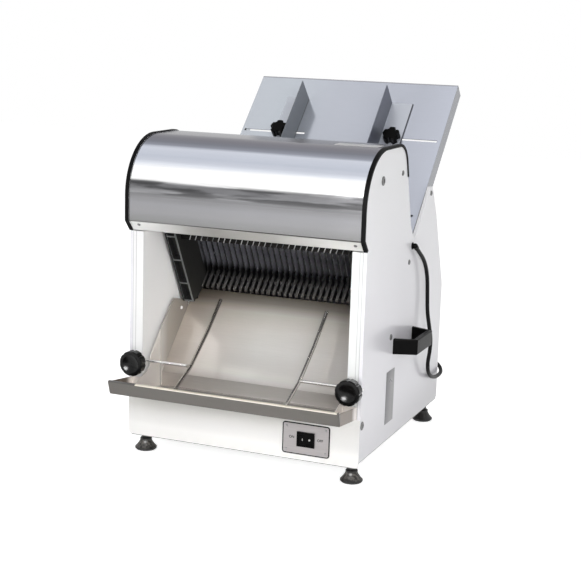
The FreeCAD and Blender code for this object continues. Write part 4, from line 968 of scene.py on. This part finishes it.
def mains_lead():
    """The cord as one curve, from its relief on the side plate to the plug."""
    route = [place(*spot) for spot in (*cord_points, *coil_route(), plug_lead, plug_grip)]
    curve = bpy.data.curves.new("mains_lead", "CURVE")
    curve.dimensions = "3D"
    curve.bevel_depth = cord_diameter / 2
    curve.bevel_resolution = 4
    curve.resolution_u = 8
    curve.use_fill_caps = True
    spline = curve.splines.new("NURBS")
    spline.points.add(len(route) - 1)
    for point, spot in zip(spline.points, route):
        point.co = (*spot, 1.0)
    spline.order_u = 3
    spline.use_endpoint_u = True
    curve.materials.append(cord_black)
    piece = bpy.data.objects.new("mains_lead", curve)
    bpy.context.scene.collection.objects.link(piece)
    return piece


lead = mains_lead()
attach(lead, "body")
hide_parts("mains_cord", "mains_cord_coil")
tuple(place(*cord_points[0]))

# ------------------------------------------------------------------ camera, floor and light
scene = bpy.context.scene
scene.view_settings.view_transform = "Standard"

camera_spot = (1005.108, -2270.296, 848.558)
yaw, pitch, roll = 0.382371, 0.194784, 0.030638
focal_pixels, frame_width_pixels = 1384.0754, 581.0
forward = Vector((-math.sin(yaw) * math.cos(pitch), math.cos(yaw) * math.cos(pitch),
                  -math.sin(pitch)))
right = Vector((math.cos(yaw), math.sin(yaw), 0.0))
over = right.cross(forward)
right_rolled = right * math.cos(roll) + over * math.sin(roll)
over_rolled = over * math.cos(roll) - right * math.sin(roll)
camera = bpy.data.objects.new("camera", bpy.data.cameras.new("camera"))
camera.data.sensor_width = 36.0
camera.data.sensor_fit = "HORIZONTAL"
camera.data.lens = focal_pixels / frame_width_pixels * camera.data.sensor_width
camera.matrix_world = Matrix.Translation(place(*camera_spot)) @ Matrix(
    (right_rolled, over_rolled, -forward)).transposed().to_4x4()
scene.collection.objects.link(camera)
scene.camera = camera

floor_mesh = bmesh.new()
bmesh.ops.create_grid(floor_mesh, x_segments=1, y_segments=1, size=6.0)
floor_data = bpy.data.meshes.new("floor")
floor_mesh.to_mesh(floor_data)
floor_mesh.free()
floor = bpy.data.objects.new("floor", floor_data)
scene.collection.objects.link(floor)
floor_paint = Finish("floor_white", **{"Roughness": 0.9})
floor_paint.set(colour=(0.86, 0.86, 0.86))
glow = floor_paint.node("ShaderNodeEmission", {}, {"Color": (1.0, 1.0, 1.0), "Strength": 0.7})
lift = floor_paint.node("ShaderNodeAddShader", {}, {
    0: floor_paint.surface.outputs[0], 1: glow.outputs[0]})
pick = floor_paint.node("ShaderNodeMixShader", {}, {
    0: floor_paint.seen(), 1: floor_paint.surface.outputs[0], 2: lift.outputs[0]})
floor_paint.feed(floor_paint.output.inputs["Surface"], pick.outputs[0])
floor_data.materials.append(floor_paint.material)

world = bpy.data.worlds.new("studio")
scene.world = world
world.use_nodes = True
studio = Nodes(world.node_tree)
shown, soft = [
    studio.node("ShaderNodeBackground", {}, {"Color": (1.0, 1.0, 1.0), "Strength": strength})
    for strength in (1.0, 0.35)]
choose = studio.node("ShaderNodeMixShader", {}, {
    0: studio.seen(), 1: soft.outputs[0], 2: shown.outputs[0]})
studio.node("ShaderNodeOutputWorld", {}, {"Surface": choose.outputs[0]})


def lamp(name, spot, target, size, watts, spread=180.0):
    """A soft box that lights the pieces and doesn't show in their mirror images."""
    data = bpy.data.lights.new(name, "AREA")
    data.shape = "RECTANGLE"
    data.size, data.size_y = size
    data.energy = watts
    data.spread = math.radians(spread)
    light = bpy.data.objects.new(name, data)
    light.location = spot
    light.rotation_euler = (Vector(target) - Vector(spot)).to_track_quat("-Z", "Y").to_euler()
    light.visible_glossy = False
    scene.collection.objects.link(light)
    return light


lamp("key_softbox", (-1.2, -2.6, 1.6), (0.0, 0.0, 0.3), (1.6, 1.2), 18.0)
lamp("top_softbox", (0.2, -0.3, 3.0), (0.0, 0.0, 0.3), (2.0, 2.0), 14.0)
lamp("front_softbox", (1.7, -2.3, 0.9), (0.0, -0.2, 0.3), (1.6, 1.2), 31.0)
lamp("opening_light", (0.75, -1.5, 0.62), (-0.06, -0.14, 0.31), (0.24, 0.2), 0.2, 22.0)
lamp("second_opening_light", (-0.5, -1.5, 0.55), (0.12, -0.16, 0.26), (0.24, 0.2), 0.1, 22.0)
lamp("rear_softbox", (-1.0, 2.8, 1.7), (0.0, 0.0, 0.3), (1.6, 1.2), 9.0)
glint = lamp("glint_light", (0.35, -2.6, 1.15), (0.0, -0.2, 0.3), (1.1, 0.8), 150.0)
glint.visible_glossy = True
glint.visible_diffuse = False
